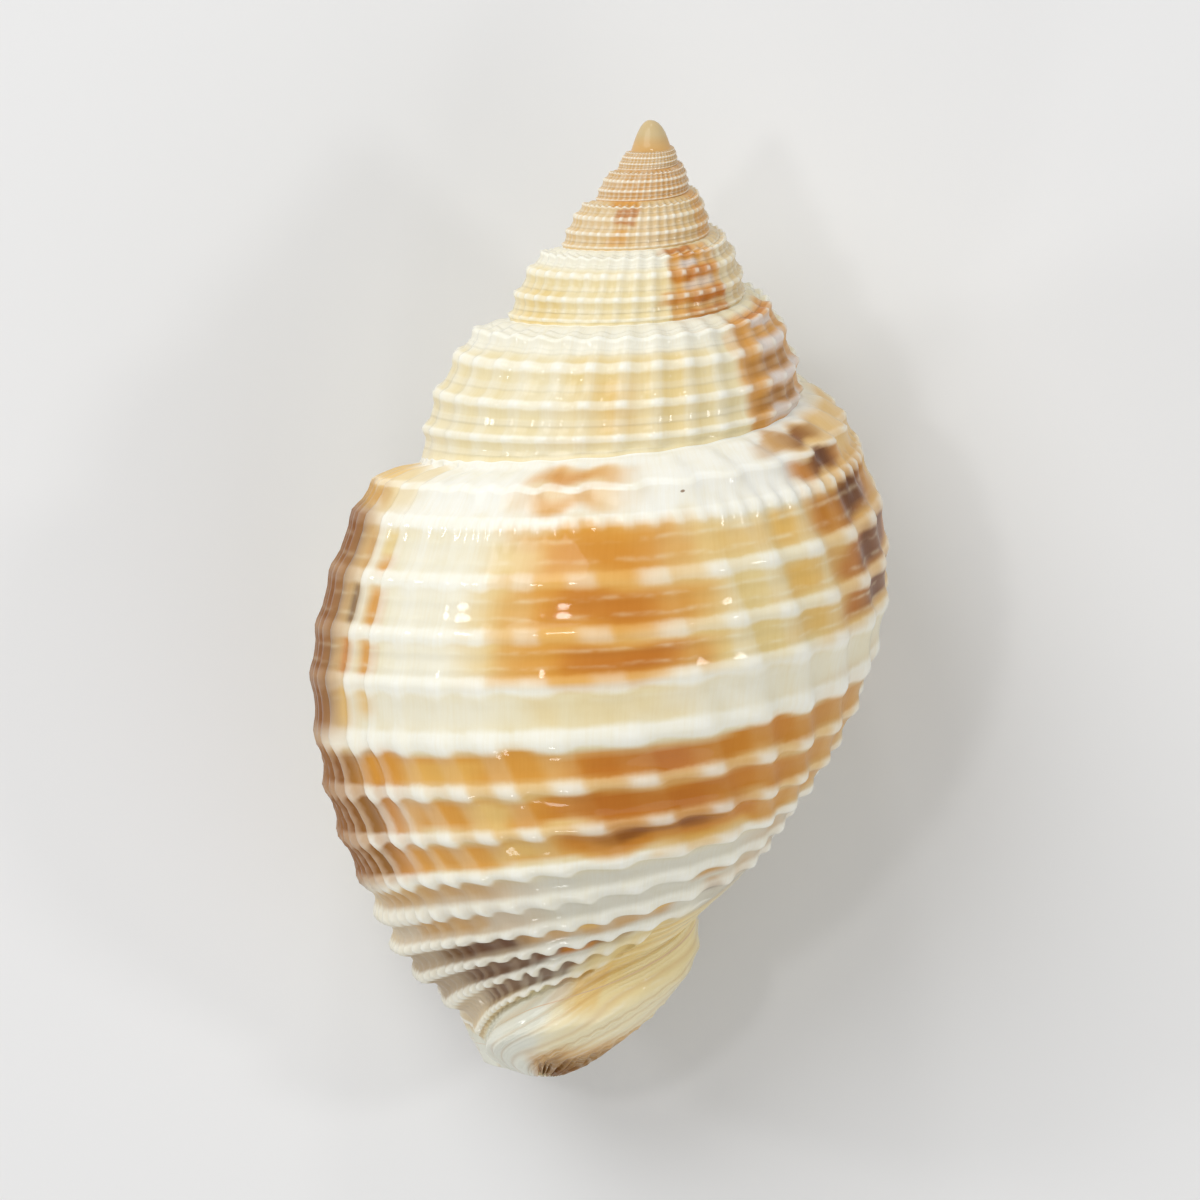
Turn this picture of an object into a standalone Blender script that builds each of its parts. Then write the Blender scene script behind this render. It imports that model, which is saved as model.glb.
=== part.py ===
"""Nutmeg shell, one solid: a coiled spire, a swollen body whorl and an open aperture.

The shell is worked out about its coiling axis and then laid down as it rests on a table:
apex toward +Y, mouth down, back up. Every whorl is the same half-section, grown larger
from turn to turn, so the body is a loft through sections that are all unlike. Turns are
counted from the lip: 0 is the lip edge, -1 is one turn back toward the apex. Rows are
counted in cords from the suture down. Lengths in the tables are millimetres.
"""
import math

import bpy
import numpy as np

MM = 0.001

# Coil
GROWTH = 1.6            # growth per turn
REF_TURN = -0.12        # turn at which the size factor is 1
APEX_TURN = -5.0        # where the coil starts under the apex dome
RIBS = 22               # axial ribs per turn
COLUMNS = 2 * RIBS      # mesh columns per turn
PERIPHERY = 25.15       # apex to the widest row, along the axis, at REF_TURN
LENGTH = 42.0           # apex to the end of the canal
BASE_END = 41.3         # lowest the base comes along the axis
LAST_SHRINK = 0.095     # the last half turn grows this much less in girth

# Half-section of a whorl: distance past the widest row, radius, both at size 1
SECTION_BACK = [(-10.84, 9.0), (-10.5, 10.4), (-9.9, 11.3), (-9.2, 11.9), (-8.0, 12.6), (-6.7, 13.25),
                (-5.4, 13.8), (-4.0, 14.2), (-2.5, 14.45), (-1.0, 14.6), (0.0, 14.6), (2.0, 14.35),
                (4.7, 13.7), (7.5, 12.65), (9.6, 11.55), (11.0, 10.7), (12.4, 9.85), (13.8, 9.0),
                (15.2, 7.9), (16.6, 6.5), (18.0, 5.3), (18.5, 5.1)]
SECTION_SIDE = [(-10.5, 9.7), (-10.15, 11.0), (-9.5, 12.05), (-8.3, 12.85), (-7.1, 13.3), (-5.9, 13.65),
                (-4.7, 14.0), (-3.5, 14.25), (-2.1, 14.45), (-1.0, 14.55), (0.0, 14.55), (2.2, 14.3),
                (4.5, 13.85), (6.8, 13.2), (9.0, 12.3), (10.2, 11.65), (11.3, 10.8), (12.4, 9.75),
                (13.5, 8.5), (14.6, 7.0), (15.6, 5.5), (16.6, 4.2), (17.6, 3.2), (18.2, 2.6)]
SECTION_LIP = [(-10.5, 9.7), (-10.15, 10.9), (-9.5, 11.9), (-8.3, 12.7), (-7.1, 13.2), (-5.9, 13.65),
               (-4.7, 14.1), (-3.5, 14.5), (-2.1, 14.8), (-1.0, 14.95), (0.0, 14.85), (2.2, 14.45),
               (4.5, 14.15), (6.8, 13.95), (8.0, 13.7), (9.0, 13.2), (10.2, 12.1), (11.3, 11.0),
               (12.4, 9.9), (13.5, 8.7), (14.6, 7.5), (15.6, 6.4), (16.6, 5.5), (17.6, 4.8), (18.2, 4.4)]
BACK_TURN = -0.62       # turn of SECTION_BACK, and of everything before it
SIDE_TURN = -0.12       # turn of SECTION_SIDE

# Spiral cords: distance past the widest row at size 1, first on the spire, then on the body
CORDS_SPIRE = [-10.84, -10.1, -8.7, -6.05, -3.5, -1.2, 2.2, 5.2, 7.6, 9.6, 11.3, 12.8, 14.1, 15.3,
               16.35, 17.3, 18.1, 18.5]
CORDS_BODY = [-10.84, -10.0, -8.3, -5.3, -2.65, 0.0, 2.9, 5.6, 7.8, 9.65, 11.3, 12.8, 14.1, 15.3,
              16.35, 17.3, 18.1, 18.5]
CORD_COUNT = len(CORDS_BODY) - 1
CORD_RISE = 0.022       # crest over groove, at size 1, in shell units
RIB_RISE = 0.018
SEAM_ROW = 10           # row at which the next whorl is attached
NECK_ROWS = 10
LAST_ROW = 2 * CORD_COUNT + NECK_ROWS

# Neck: radius against distance from the apex, outside and in the aperture
NECK_OUTSIDE = [(28.0, 3.4), (34.4, 4.2), (35.6, 4.65), (36.7, 4.95), (37.8, 5.1), (38.8, 4.9),
                (39.5, 4.3), (40.1, 3.6), (40.7, 3.1), (41.2, 2.5), (41.7, 1.7), (42.0, 1.0)]
NECK_INSIDE = [(20.0, 2.4), (29.0, 2.6), (32.0, 2.1), (36.0, 1.9), (39.0, 1.7), (41.0, 1.2), (42.0, 0.7)]
NECK_SHIFT = 2.33       # the neck leans this far toward the lip
SHIFT_FROM = 34.0
SHIFT_TO = 39.6
FOLDS = [(0.2, 0.8), (0.4, 0.65)]       # folds on the columella: place along it, height
FOLD_WIDTH = 0.065

# Aperture
LIP_END = 3.3           # radius at which the lip ends, beside the canal
CANAL_CORD = 15.5       # cord at which the hollow ends behind the lip
WALL = 0.95             # wall behind the lip
LIRA_RISE = 0.22        # ridges inside the lip
MOUTH_TURNS = [-0.006, -0.03, -0.07, -0.12, -0.175, -0.235, -0.3, -0.37, -0.44, -0.51, -0.59, -0.67,
               -0.75]

# How it lies, degrees, turned about the long axis and then about the cross axis
ROLL = 5.08
PITCH = 8.17


def smooth(x):
    """Smooth step from 0 to 1."""
    x = np.clip(x, 0.0, 1.0)
    return x * x * (3.0 - 2.0 * x)


def through(points, steps=16):
    """Dense curve through the points of a table, with no corners."""
    p = np.array(points, float)
    p = np.vstack([2 * p[0] - p[1], p, 2 * p[-1] - p[-2]])
    u = np.linspace(0.0, 1.0, steps, endpoint=False)[:, None]
    out = []
    for a, b, c, d in zip(p, p[1:], p[2:], p[3:]):
        out.append(0.5 * (2 * b + (c - a) * u + (2 * a - 5 * b + 4 * c - d) * u ** 2
                          + (3 * b - a - 3 * c + d) * u ** 3))
    out.append(p[-2:-1])
    return np.vstack(out)


BACK = through(SECTION_BACK)
SIDE = through(SECTION_SIDE)
LIP = through(SECTION_LIP)
OUTSIDE = through(NECK_OUTSIDE)
INSIDE = through(NECK_INSIDE)


def growth(t):
    """Size factor along the axis at turn t."""
    return GROWTH ** (t - REF_TURN)


def girth(t):
    """Size factor of the half-section at turn t."""
    return growth(t) * (1.0 - LAST_SHRINK * smooth((t + 0.75) / 0.75))


def squeeze(t):
    """How far the base is shortened so that it ends inside the shell."""
    room = (BASE_END - PERIPHERY * growth(t)) / (girth(t) * CORDS_BODY[-1])
    return np.minimum(1.0, room)


def radius_at(b, t):
    """Radius of the half-section at size 1."""
    side = smooth((t - BACK_TURN) / (SIDE_TURN - BACK_TURN))
    lip = smooth((t - SIDE_TURN) / -SIDE_TURN)
    r_back = np.interp(b, BACK[:, 0], BACK[:, 1])
    r_side = np.interp(b, SIDE[:, 0], SIDE[:, 1])
    r_lip = np.interp(b, LIP[:, 0], LIP[:, 1])
    return r_back + (r_side - r_back) * side + (r_lip - r_side) * lip


def cord_places(t):
    """Places of the cords at turn t, at size 1."""
    k = smooth((t + 1.3) / 0.9)
    spire = np.array(CORDS_SPIRE)
    return spire + (np.array(CORDS_BODY) - spire) * k


def seam_depth(t):
    """Distance from the apex at which whorl t is attached to the one before."""
    return PERIPHERY * growth(t) + CORDS_BODY[0] * girth(t)


def seam_cord(t):
    """Cord count at which the next whorl covers whorl t."""
    b = (seam_depth(t + 1.0) - PERIPHERY * growth(t)) / girth(t)
    return float(np.interp(b, cord_places(t), np.arange(CORD_COUNT + 1)))


def seam_radius(t):
    """Radius at which whorl t is attached to the one before."""
    b = (seam_depth(t) - PERIPHERY * growth(t - 1.0)) / girth(t - 1.0)
    return radius_at(b, t - 1.0) * girth(t - 1.0)


def outer_point(t, cord):
    """Radius and distance from the apex on the smooth outside, cord by cord."""
    b = float(np.interp(cord, np.arange(CORD_COUNT + 1), cord_places(t)))
    k = girth(t)
    radius = radius_at(b, t) * k
    gap = seam_radius(t) - radius_at(CORDS_BODY[0], t) * k
    radius += gap * (1.0 - smooth((b - CORDS_BODY[0]) / 2.2))
    along = PERIPHERY * growth(t) + b * k * (squeeze(t) if b > 0 else 1.0)
    return radius, along


def neck_point(t, q, end):
    """Radius and distance from the apex on the neck, q from 0 at the base to 1 at its end."""
    r_top, top = outer_point(t, CORD_COUNT)
    along = top + (end - top) * q
    outside = np.interp(along, OUTSIDE[:, 0], OUTSIDE[:, 1])
    inside = np.interp(along, INSIDE[:, 0], INSIDE[:, 1])
    open_side = 1.0 - smooth((t + 1.0) / 0.3)
    radius = outside + (inside - outside) * open_side
    radius = r_top + (radius - r_top) * smooth(q / 0.25)
    radius += (r_top + (LIP_END - r_top) * q - radius) * smooth((t + 0.12) / 0.12)
    for place, height in FOLDS:
        radius += open_side * height * math.exp(-((q - place) / FOLD_WIDTH) ** 2)
    return radius, along


def row_cord(t, row):
    """Cord count of a row: a row on every crest and in every groove."""
    if row <= SEAM_ROW - 2 or row > SEAM_ROW + 1:
        return row / 2.0
    seam = seam_cord(t)
    if t > -1.0:
        seam += (SEAM_ROW / 2.0 - seam) * smooth((t + 1.0) / 0.1)
    crest = (SEAM_ROW - 2) / 2.0
    if row == SEAM_ROW - 1:
        return 0.5 * (crest + seam)
    if row == SEAM_ROW:
        return seam
    return 0.5 * (seam + (SEAM_ROW + 2) / 2.0)


def relief(t, row, column):
    """Height of cords and ribs over the smooth outside, at size 1."""
    if row == 0 or t < -4.6:
        return 0.0
    cord = 1.0 if row % 2 == 0 else 0.0
    rib = 1.0 if column % 2 == 0 else 0.0
    base = 1.0 - 0.6 * smooth((row - 18) / 12.0)
    callus = 1.0 - smooth((t + 1.0) / 0.1)
    fade = smooth((t + 4.6) / 0.8)
    if row > SEAM_ROW:
        fade *= 1.0 - callus
    fade *= smooth((row + 1) / 4.0)
    fade *= 1.0 - smooth((row - 29) / 4.0) * smooth((t + 0.45) / 0.3)
    height = (cord - 0.8) * CORD_RISE + (rib - 0.8) * RIB_RISE * base
    return 14.6 * fade * height


def place(t, radius, along):
    """Point on the coil: turn, radius and distance from the apex to x, y, z."""
    angle = math.radians(90.0 + (t + 0.37) * 360.0)
    shift = NECK_SHIFT * smooth((along - SHIFT_FROM) / (SHIFT_TO - SHIFT_FROM))
    return (radius * math.cos(angle) - shift, -along, radius * math.sin(angle))


def outer_row(t, row, column):
    """Point of the outside at a column and a row."""
    if row <= 2 * CORD_COUNT:
        radius, along = outer_point(t, row_cord(t, row))
        radius += relief(t, row, column) * girth(t)
    else:
        q = (row - 2 * CORD_COUNT) / NECK_ROWS
        radius, along = neck_point(t, q, LENGTH)
    return place(t, radius, along)


def floor_depth(t):
    """Distance from the apex at which the aperture ends at turn t."""
    deep = outer_point(t, CANAL_CORD)[1]
    return LENGTH + (deep - LENGTH) * smooth(-t / 0.06)


def mouth_ring(t):
    """Section of the aperture at turn t: outer wall down, then columella and parietal wall up."""
    near = smooth(-t / 0.03)
    deep = smooth((-t - 0.01) / 0.09)
    bottom = floor_depth(t)
    outer = []
    last_cord = CANAL_CORD - 2.5
    for row in range(1, LAST_ROW + 1):
        part = (row - 2 * last_cord) / (LAST_ROW - 2 * last_cord)
        cord = last_cord + part * (CANAL_CORD - last_cord) if part > 0.0 else row / 2.0
        here = np.array(outer_point(t, cord))
        run = np.array(outer_point(t, min(cord + 0.25, CORD_COUNT))) - outer_point(t, max(cord - 0.25, 0.0))
        inward = np.array([-abs(run[1]), run[0]]) / np.hypot(run[0], run[1])
        thick = (0.45 + 0.75 * near) * WALL * smooth(0.3 + row / 6.0)
        if row % 2 == 0 and 4 < row < 28:
            thick += LIRA_RISE * near
        point = here + inward * thick
        if row > 2 * CORD_COUNT:
            rim = neck_point(t, (row - 2 * CORD_COUNT) / NECK_ROWS, LENGTH)
            rim = np.array(rim) + np.array([-0.7, -0.7]) * thick
            point = rim + (point - rim) * deep
        elif part > 0.0:
            rim = np.array(outer_point(t, row / 2.0)) + inward * thick
            point = rim + (point - rim) * deep
        point[1] = min(point[1], bottom)
        outer.append(tuple(point))
    inner = []
    for row in range(LAST_ROW, SEAM_ROW - 1, -1):
        if row > 2 * CORD_COUNT:
            inner.append(neck_point(t - 1.0, (row - 2 * CORD_COUNT) / NECK_ROWS, bottom))
        else:
            drop = 0.45 * max(0.0, 1.0 - (row - SEAM_ROW) / 6.0) * (0.5 + 0.5 * near)
            inner.append(outer_point(t - 1.0, row_cord(t - 1.0, row) + drop))
    return outer, inner


def build_shell():
    """Vertices and faces of the whole shell, in millimetres."""
    verts = []
    faces = []
    grid = {}
    first = int(round(APEX_TURN * COLUMNS))
    for column in range(first, 1):
        t = column / COLUMNS
        rows = LAST_ROW if column >= -COLUMNS else SEAM_ROW - 1
        for row in range(0, rows + 1):
            if row == 0 and column >= first + COLUMNS:
                continue
            if row == SEAM_ROW and column == -COLUMNS:
                continue
            grid[column, row] = len(verts)
            verts.append(outer_row(t, row, column))
    for column in range(first, 1):
        t = column / COLUMNS
        if column + COLUMNS <= 0:
            grid[column, SEAM_ROW] = len(verts)
            verts.append(outer_row(t + 1.0, 0, column))
            grid[column + COLUMNS, 0] = grid[column, SEAM_ROW]
    for column in range(first, 0):
        rows = LAST_ROW if column >= -COLUMNS else SEAM_ROW
        for row in range(rows):
            faces.append((grid[column, row], grid[column, row + 1], grid[column + 1, row + 1], grid[column + 1, row]))

    # Apex dome
    rim = [grid[c, 0] for c in range(first + COLUMNS, first - 1, -1)]
    rim += [grid[first, r] for r in range(1, SEAM_ROW)]
    centre = np.mean([verts[i] for i in rim], axis=0)
    previous = rim
    for share, lift in ((0.72, 0.55), (0.38, 0.9)):
        ring = []
        for i in rim:
            p = np.array(verts[i])
            q = centre + (p - centre) * share
            q[1] = p[1] + (0.0 - p[1]) * lift
            ring.append(len(verts))
            verts.append(tuple(q))
        for k in range(len(rim)):
            n = (k + 1) % len(rim)
            faces.append((previous[n], previous[k], ring[k], ring[n]))
        previous = ring
    tip = len(verts)
    verts.append((centre[0], 0.0, centre[2]))
    for k in range(len(previous)):
        faces.append((previous[(k + 1) % len(previous)], previous[k], tip))

    # End of the neck
    end = [grid[c, LAST_ROW] for c in range(-COLUMNS, 1)]
    centre = np.mean([verts[i] for i in end], axis=0)
    tip = len(verts)
    verts.append((centre[0], -LENGTH - 0.1, centre[2]))
    for k in range(len(end)):
        faces.append((end[k], tip, end[(k + 1) % len(end)]))

    # Aperture: rings from the lip inward
    loop = [grid[0, r] for r in range(1, LAST_ROW + 1)]
    loop += [grid[-COLUMNS, r] for r in range(LAST_ROW, SEAM_ROW - 1, -1)]
    for t in MOUTH_TURNS:
        outer, inner = mouth_ring(t)
        ring = []
        for p in outer + inner:
            ring.append(len(verts))
            verts.append(place(t, *p))
        for k in range(len(loop)):
            n = (k + 1) % len(loop)
            faces.append((loop[k], loop[n], ring[n], ring[k]))
        loop = ring
    left = loop[:len(outer)]
    right = loop[len(outer):][::-1]
    inner.reverse()
    i = 0
    k = 0
    while i < len(left) - 1 or k < len(right) - 1:
        if k == len(right) - 1 or (i < len(left) - 1 and outer[i + 1][1] < inner[k + 1][1]):
            faces.append((left[i], left[i + 1], right[k]))
            i += 1
        else:
            faces.append((left[i], right[k + 1], right[k]))
            k += 1
    return verts, faces


def laid_down(verts):
    """The vertices turned to the resting pose, centred over the origin, lowest point on the table."""
    roll = math.radians(ROLL)
    pitch = math.radians(PITCH)
    p = np.array(verts)
    about_long = np.array([[math.cos(roll), 0, math.sin(roll)], [0, 1, 0], [-math.sin(roll), 0, math.cos(roll)]])
    about_cross = np.array([[1, 0, 0], [0, math.cos(pitch), -math.sin(pitch)],
                            [0, math.sin(pitch), math.cos(pitch)]])
    p = p @ (about_cross @ about_long).T
    low = p.min(axis=0)
    high = p.max(axis=0)
    return (p - [(low[0] + high[0]) / 2, (low[1] + high[1]) / 2, low[2]]) * MM


def shell_material():
    """Cream-tan polished shell."""
    material = bpy.data.materials.new("shell_cream")
    material.use_nodes = True
    shader = material.node_tree.nodes["Principled BSDF"]
    shader.inputs["Base Color"].default_value = (0.72, 0.55, 0.38, 1.0)
    shader.inputs["Roughness"].default_value = 0.35
    return material


def main():
    for thing in list(bpy.data.objects):
        bpy.data.objects.remove(thing, do_unlink=True)
    verts, faces = build_shell()
    mesh = bpy.data.meshes.new("shell")
    mesh.from_pydata([tuple(p) for p in laid_down(verts)], [], [f[::-1] for f in faces])
    mesh.validate()
    mesh.shade_smooth()
    mesh.materials.append(shell_material())
    shell = bpy.data.objects.new("shell", mesh)
    collection = bpy.data.collections.new("nutmeg_shell")
    bpy.context.scene.collection.children.link(collection)
    collection.objects.link(shell)


main()
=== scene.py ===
"""Looks of the nutmeg shell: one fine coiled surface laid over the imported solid.

The coil is worked out about its own axis, in millimetres, from the same named tables as the
solid, with the full netting of cords and ribs. Turns are counted from the lip, 0 at the lip
edge and -1 one turn back. Rows are counted in spiral cords from the suture down.
"""
from __future__ import annotations

import logging
import math
from dataclasses import dataclass, field
from enum import Enum

import bpy
import numpy as np
from mathutils import Matrix, Vector


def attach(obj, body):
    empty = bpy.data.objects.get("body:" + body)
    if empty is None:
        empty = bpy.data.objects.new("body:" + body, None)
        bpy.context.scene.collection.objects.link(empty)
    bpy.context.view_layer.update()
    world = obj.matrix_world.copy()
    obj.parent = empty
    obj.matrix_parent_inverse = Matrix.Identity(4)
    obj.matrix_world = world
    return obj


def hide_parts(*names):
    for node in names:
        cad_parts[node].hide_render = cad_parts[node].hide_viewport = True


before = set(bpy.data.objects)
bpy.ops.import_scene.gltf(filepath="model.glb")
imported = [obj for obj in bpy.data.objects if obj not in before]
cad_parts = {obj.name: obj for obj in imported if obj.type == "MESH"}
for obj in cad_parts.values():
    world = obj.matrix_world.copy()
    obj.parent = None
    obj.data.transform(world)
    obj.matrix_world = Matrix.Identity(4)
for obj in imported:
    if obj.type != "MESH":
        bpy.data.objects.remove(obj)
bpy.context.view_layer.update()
LOG = logging.getLogger("nutmeg_shell")
MM = 0.001
TURN_ROUND = 2.0 * math.pi  # one full turn, in radians
Span = tuple[float, float]
Point = tuple[float, float, float]
Colour = tuple[float, float, float]
Table = list[Span]

# places of the values kept for each face corner
VERTEX, TURN, CORD, REGION, LINE, RIB, HALF_WIDTH, U, V, FOLD, FOLD_SHOWN = range(11)
CORNER_VALUES = FOLD_SHOWN + 1
ON_COIL = slice(TURN, REGION + 1)
ON_NET = slice(LINE, HALF_WIDTH + 1)
ON_MAP = slice(U, V + 1)
ON_FOLDS = slice(FOLD, FOLD_SHOWN + 1)


def ramp(x: np.ndarray | float, start: float, end: float) -> np.ndarray:
    """Smooth step from 0 at start to 1 at end, where end may be the lower one."""
    x = np.clip((x - start) / (end - start), 0.0, 1.0)
    return x * x * (3.0 - 2.0 * x)


def through(points: Table, steps: int = 16) -> np.ndarray:
    """Dense curve through the points of a table, with no corners.

    Args:
        points: Places and values, in order.
        steps: Points per stretch of the table.

    Returns:
        The curve's points, one per row.
    """
    p = np.array(points, float)
    p = np.vstack([2 * p[0] - p[1], p, 2 * p[-1] - p[-2]])
    u = np.linspace(0.0, 1.0, steps, endpoint=False)[:, None]
    out = []
    for a, b, c, d in zip(p, p[1:], p[2:], p[3:]):
        out.append(0.5 * (2 * b + (c - a) * u + (2 * a - 5 * b + 4 * c - d) * u ** 2
                          + (3 * b - a - 3 * c + d) * u ** 3))
    out.append(p[-2:-1])
    return np.vstack(out)


def along_table(x: np.ndarray | float, table: Table) -> np.ndarray:
    """Value of a table at x, straight between its points."""
    xs, ys = zip(*table)
    return np.interp(x, xs, ys)


@dataclass
class Coil:
    """The smooth coil: whorl sections, suture and neck, as functions of turn and cord.

    The sections and cords are given at size 1, as distances past the widest row.
    """

    growth_rate: float = 1.6
    ref_turn: float = -0.12
    periphery: float = 25.15
    length: float = 42.35
    apex_reach: float = 5.0
    apex_lift: float = 0.28
    apex_bulge: float = 0.12
    apex_shift: float = 0.16
    base_end: float = 41.3
    last_shrink: float = 0.095
    back_turn: float = -0.62
    side_turn: float = -0.12
    up_turn: float = -0.37
    spire_to_body: Span = (-1.3, -0.4)
    shrink_from: float = -0.75
    seam_reach: float = 2.2
    neck_shift: float = 2.33
    shift_from: float = 34.0
    shift_to: float = 39.6
    lip_end: float = 3.3
    fold_width: float = 0.065
    folds: Table = field(default_factory=lambda: [(0.2, 0.8), (0.4, 0.65)])
    section_back: Table = field(default_factory=lambda: [
        (-10.84, 9.0), (-10.5, 10.4), (-9.9, 11.3), (-9.2, 11.9), (-8.0, 12.6), (-6.7, 13.25),
        (-5.4, 13.8), (-4.0, 14.2), (-2.5, 14.45), (-1.0, 14.6), (0.0, 14.6), (2.0, 14.35),
        (4.7, 13.7), (7.5, 12.65), (9.6, 11.55), (11.0, 10.7), (12.4, 9.85), (13.8, 9.0),
        (15.2, 7.9), (16.6, 6.5), (18.0, 5.3), (18.5, 5.1)])
    section_side: Table = field(default_factory=lambda: [
        (-10.5, 9.7), (-10.15, 11.0), (-9.5, 12.05), (-8.3, 12.85), (-7.1, 13.3), (-5.9, 13.65),
        (-4.7, 14.0), (-3.5, 14.25), (-2.1, 14.45), (-1.0, 14.55), (0.0, 14.55), (2.2, 14.3),
        (4.5, 13.85), (6.8, 13.2), (9.0, 12.3), (10.2, 11.65), (11.3, 10.8), (12.4, 9.75),
        (13.5, 8.5), (14.6, 7.0), (15.6, 5.5), (16.6, 4.2), (17.6, 3.2), (18.2, 2.6)])
    section_lip: Table = field(default_factory=lambda: [
        (-10.5, 9.7), (-10.15, 10.9), (-9.5, 11.9), (-8.3, 12.7), (-7.1, 13.2), (-5.9, 13.65),
        (-4.7, 14.1), (-3.5, 14.5), (-2.1, 14.8), (-1.0, 14.95), (0.0, 14.85), (2.2, 14.45),
        (4.5, 14.15), (6.8, 13.95), (8.0, 13.7), (9.0, 13.2), (10.2, 12.1), (11.3, 11.0),
        (12.4, 9.9), (13.5, 8.7), (14.6, 7.5), (15.6, 6.4), (16.6, 5.5), (17.6, 4.8), (18.2, 4.4)])
    cords_spire: list[float] = field(default_factory=lambda: [
        -10.84, -10.1, -8.7, -6.05, -3.5, -1.2, 2.2, 5.2, 7.6, 9.6, 11.3, 12.8, 14.1, 15.3,
        16.35, 17.3, 18.1, 18.5])
    cords_body: list[float] = field(default_factory=lambda: [
        -10.84, -10.0, -8.3, -5.3, -2.65, 0.0, 2.9, 5.6, 7.8, 9.65, 11.3, 12.8, 14.1, 15.3,
        16.35, 17.3, 18.1, 18.5])
    neck_outside: Table = field(default_factory=lambda: [
        (28.0, 3.4), (34.4, 4.2), (35.6, 4.65), (36.7, 4.95), (37.8, 5.1), (38.8, 4.98),
        (39.5, 4.6), (40.1, 4.0), (40.7, 3.4), (41.2, 2.85), (41.7, 2.2), (42.05, 1.6),
        (42.35, 1.0)])
    neck_inside: Table = field(default_factory=lambda: [
        (20.0, 2.4), (29.0, 2.6), (32.0, 2.1), (36.0, 1.9), (39.0, 1.7), (41.0, 1.3), (42.35, 0.7)])

    def __post_init__(self) -> None:
        """Work out the dense curves once."""
        self.back = through(self.section_back)
        self.side = through(self.section_side)
        self.lip = through(self.section_lip)
        self.outside = through(self.neck_outside)
        self.inside = through(self.neck_inside)
        self.count = len(self.cords_body) - 1
        marks = np.arange(self.count + 1)
        self.spire_marks = through(list(zip(marks, self.cords_spire)), 8)
        self.body_marks = through(list(zip(marks, self.cords_body)), 8)

    def growth(self, t: float) -> float:
        """Size factor along the axis at turn t."""
        return self.growth_rate ** (t - self.ref_turn)

    def girth(self, t: float) -> float:
        """Size factor of the half-section at turn t."""
        return self.growth(t) * (1.0 - self.last_shrink * ramp(t, self.shrink_from, 0.0))

    def radius_at(self, b: np.ndarray | float, t: float) -> np.ndarray:
        """Radius of the half-section at size 1, b past its widest row."""
        side = ramp(t, self.back_turn, self.side_turn)
        lip = ramp(t, self.side_turn, 0.0)
        r_back = np.interp(b, self.back[:, 0], self.back[:, 1])
        r_side = np.interp(b, self.side[:, 0], self.side[:, 1])
        r_lip = np.interp(b, self.lip[:, 0], self.lip[:, 1])
        return r_back + (r_side - r_back) * side + (r_lip - r_side) * lip

    def depth_of(self, cord: np.ndarray | float, t: float) -> np.ndarray:
        """Place of a cord past the widest row, at size 1."""
        spire = np.interp(cord, self.spire_marks[:, 0], self.spire_marks[:, 1])
        body = np.interp(cord, self.body_marks[:, 0], self.body_marks[:, 1])
        return spire + (body - spire) * ramp(t, *self.spire_to_body)

    def seam_depth(self, t: float) -> float:
        """Distance from the apex at which whorl t is attached to the one before."""
        return self.periphery * self.growth(t) + self.cords_body[0] * self.girth(t)

    def seam_cord(self, t: float) -> float:
        """Cord count at which the next whorl covers whorl t."""
        b = (self.seam_depth(t + 1.0) - self.periphery * self.growth(t)) / self.girth(t)
        cords = np.linspace(0.0, 8.0, 400)
        return float(np.interp(b, self.depth_of(cords, t), cords))

    def seam_radius(self, t: float) -> float:
        """Radius at which whorl t is attached to the one before."""
        b = (self.seam_depth(t) - self.periphery * self.growth(t - 1.0)) / self.girth(t - 1.0)
        return float(self.radius_at(b, t - 1.0)) * self.girth(t - 1.0)

    def outer(self, t: float, cord: np.ndarray | float) -> tuple[np.ndarray, np.ndarray]:
        """Radius and distance from the apex on the smooth outside.

        Args:
            t: Turn.
            cord: Cord counts from the suture down.

        Returns:
            Radii and distances from the apex, in millimetres.
        """
        b = self.depth_of(cord, t)
        k = self.girth(t)
        gap = self.seam_radius(t) - self.radius_at(self.cords_body[0], t) * k
        top = self.cords_body[0]
        radius = self.radius_at(b, t) * k + gap * ramp(b, top + self.seam_reach, top)
        room = (self.base_end - self.periphery * self.growth(t)) / (k * self.cords_body[-1])
        along = self.periphery * self.growth(t) + b * k * np.where(b > 0, min(1.0, room), 1.0)
        return radius, along

    def neck(self, t: float, q: np.ndarray, end: float) -> tuple[np.ndarray, np.ndarray]:
        """Radius and distance from the apex on the neck.

        Args:
            t: Turn.
            q: Places from 0 at the base to 1 at the end.
            end: Distance from the apex of the end.

        Returns:
            Radii and distances from the apex, in millimetres.
        """
        r_top, top = self.outer(t, float(self.count))
        along = top + (end - top) * q
        outside = np.interp(along, self.outside[:, 0], self.outside[:, 1])
        inside = np.interp(along, self.inside[:, 0], self.inside[:, 1])
        open_side = ramp(t, -0.7, -1.0)
        radius = outside + (inside - outside) * open_side
        radius = r_top + (radius - r_top) * ramp(q, 0.0, 0.25)
        radius = radius + (r_top + (self.lip_end - r_top) * q - radius) * ramp(t, self.side_turn, 0.0)
        for place, height in self.folds:
            radius = radius + open_side * height * np.exp(-((q - place) / self.fold_width) ** 2)
        return radius, along

    def place(self, t: float, radius: np.ndarray, along: np.ndarray) -> np.ndarray:
        """Points on the coil, one per row, from turn, radius and distance from the apex."""
        angle = math.radians(90.0 + (t - self.up_turn) * 360.0)
        shift = self.neck_shift * ramp(along, self.shift_from, self.shift_to)
        near = ramp(along, self.apex_reach, 0.0)
        shift = shift - self.apex_shift * near ** 2
        radius = radius + self.apex_bulge * near ** 3 * ramp(radius, 0.0, 0.2)
        along = along - self.apex_lift * near
        return np.stack([radius * math.cos(angle) - shift, -along, radius * math.sin(angle)], axis=-1)


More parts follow.
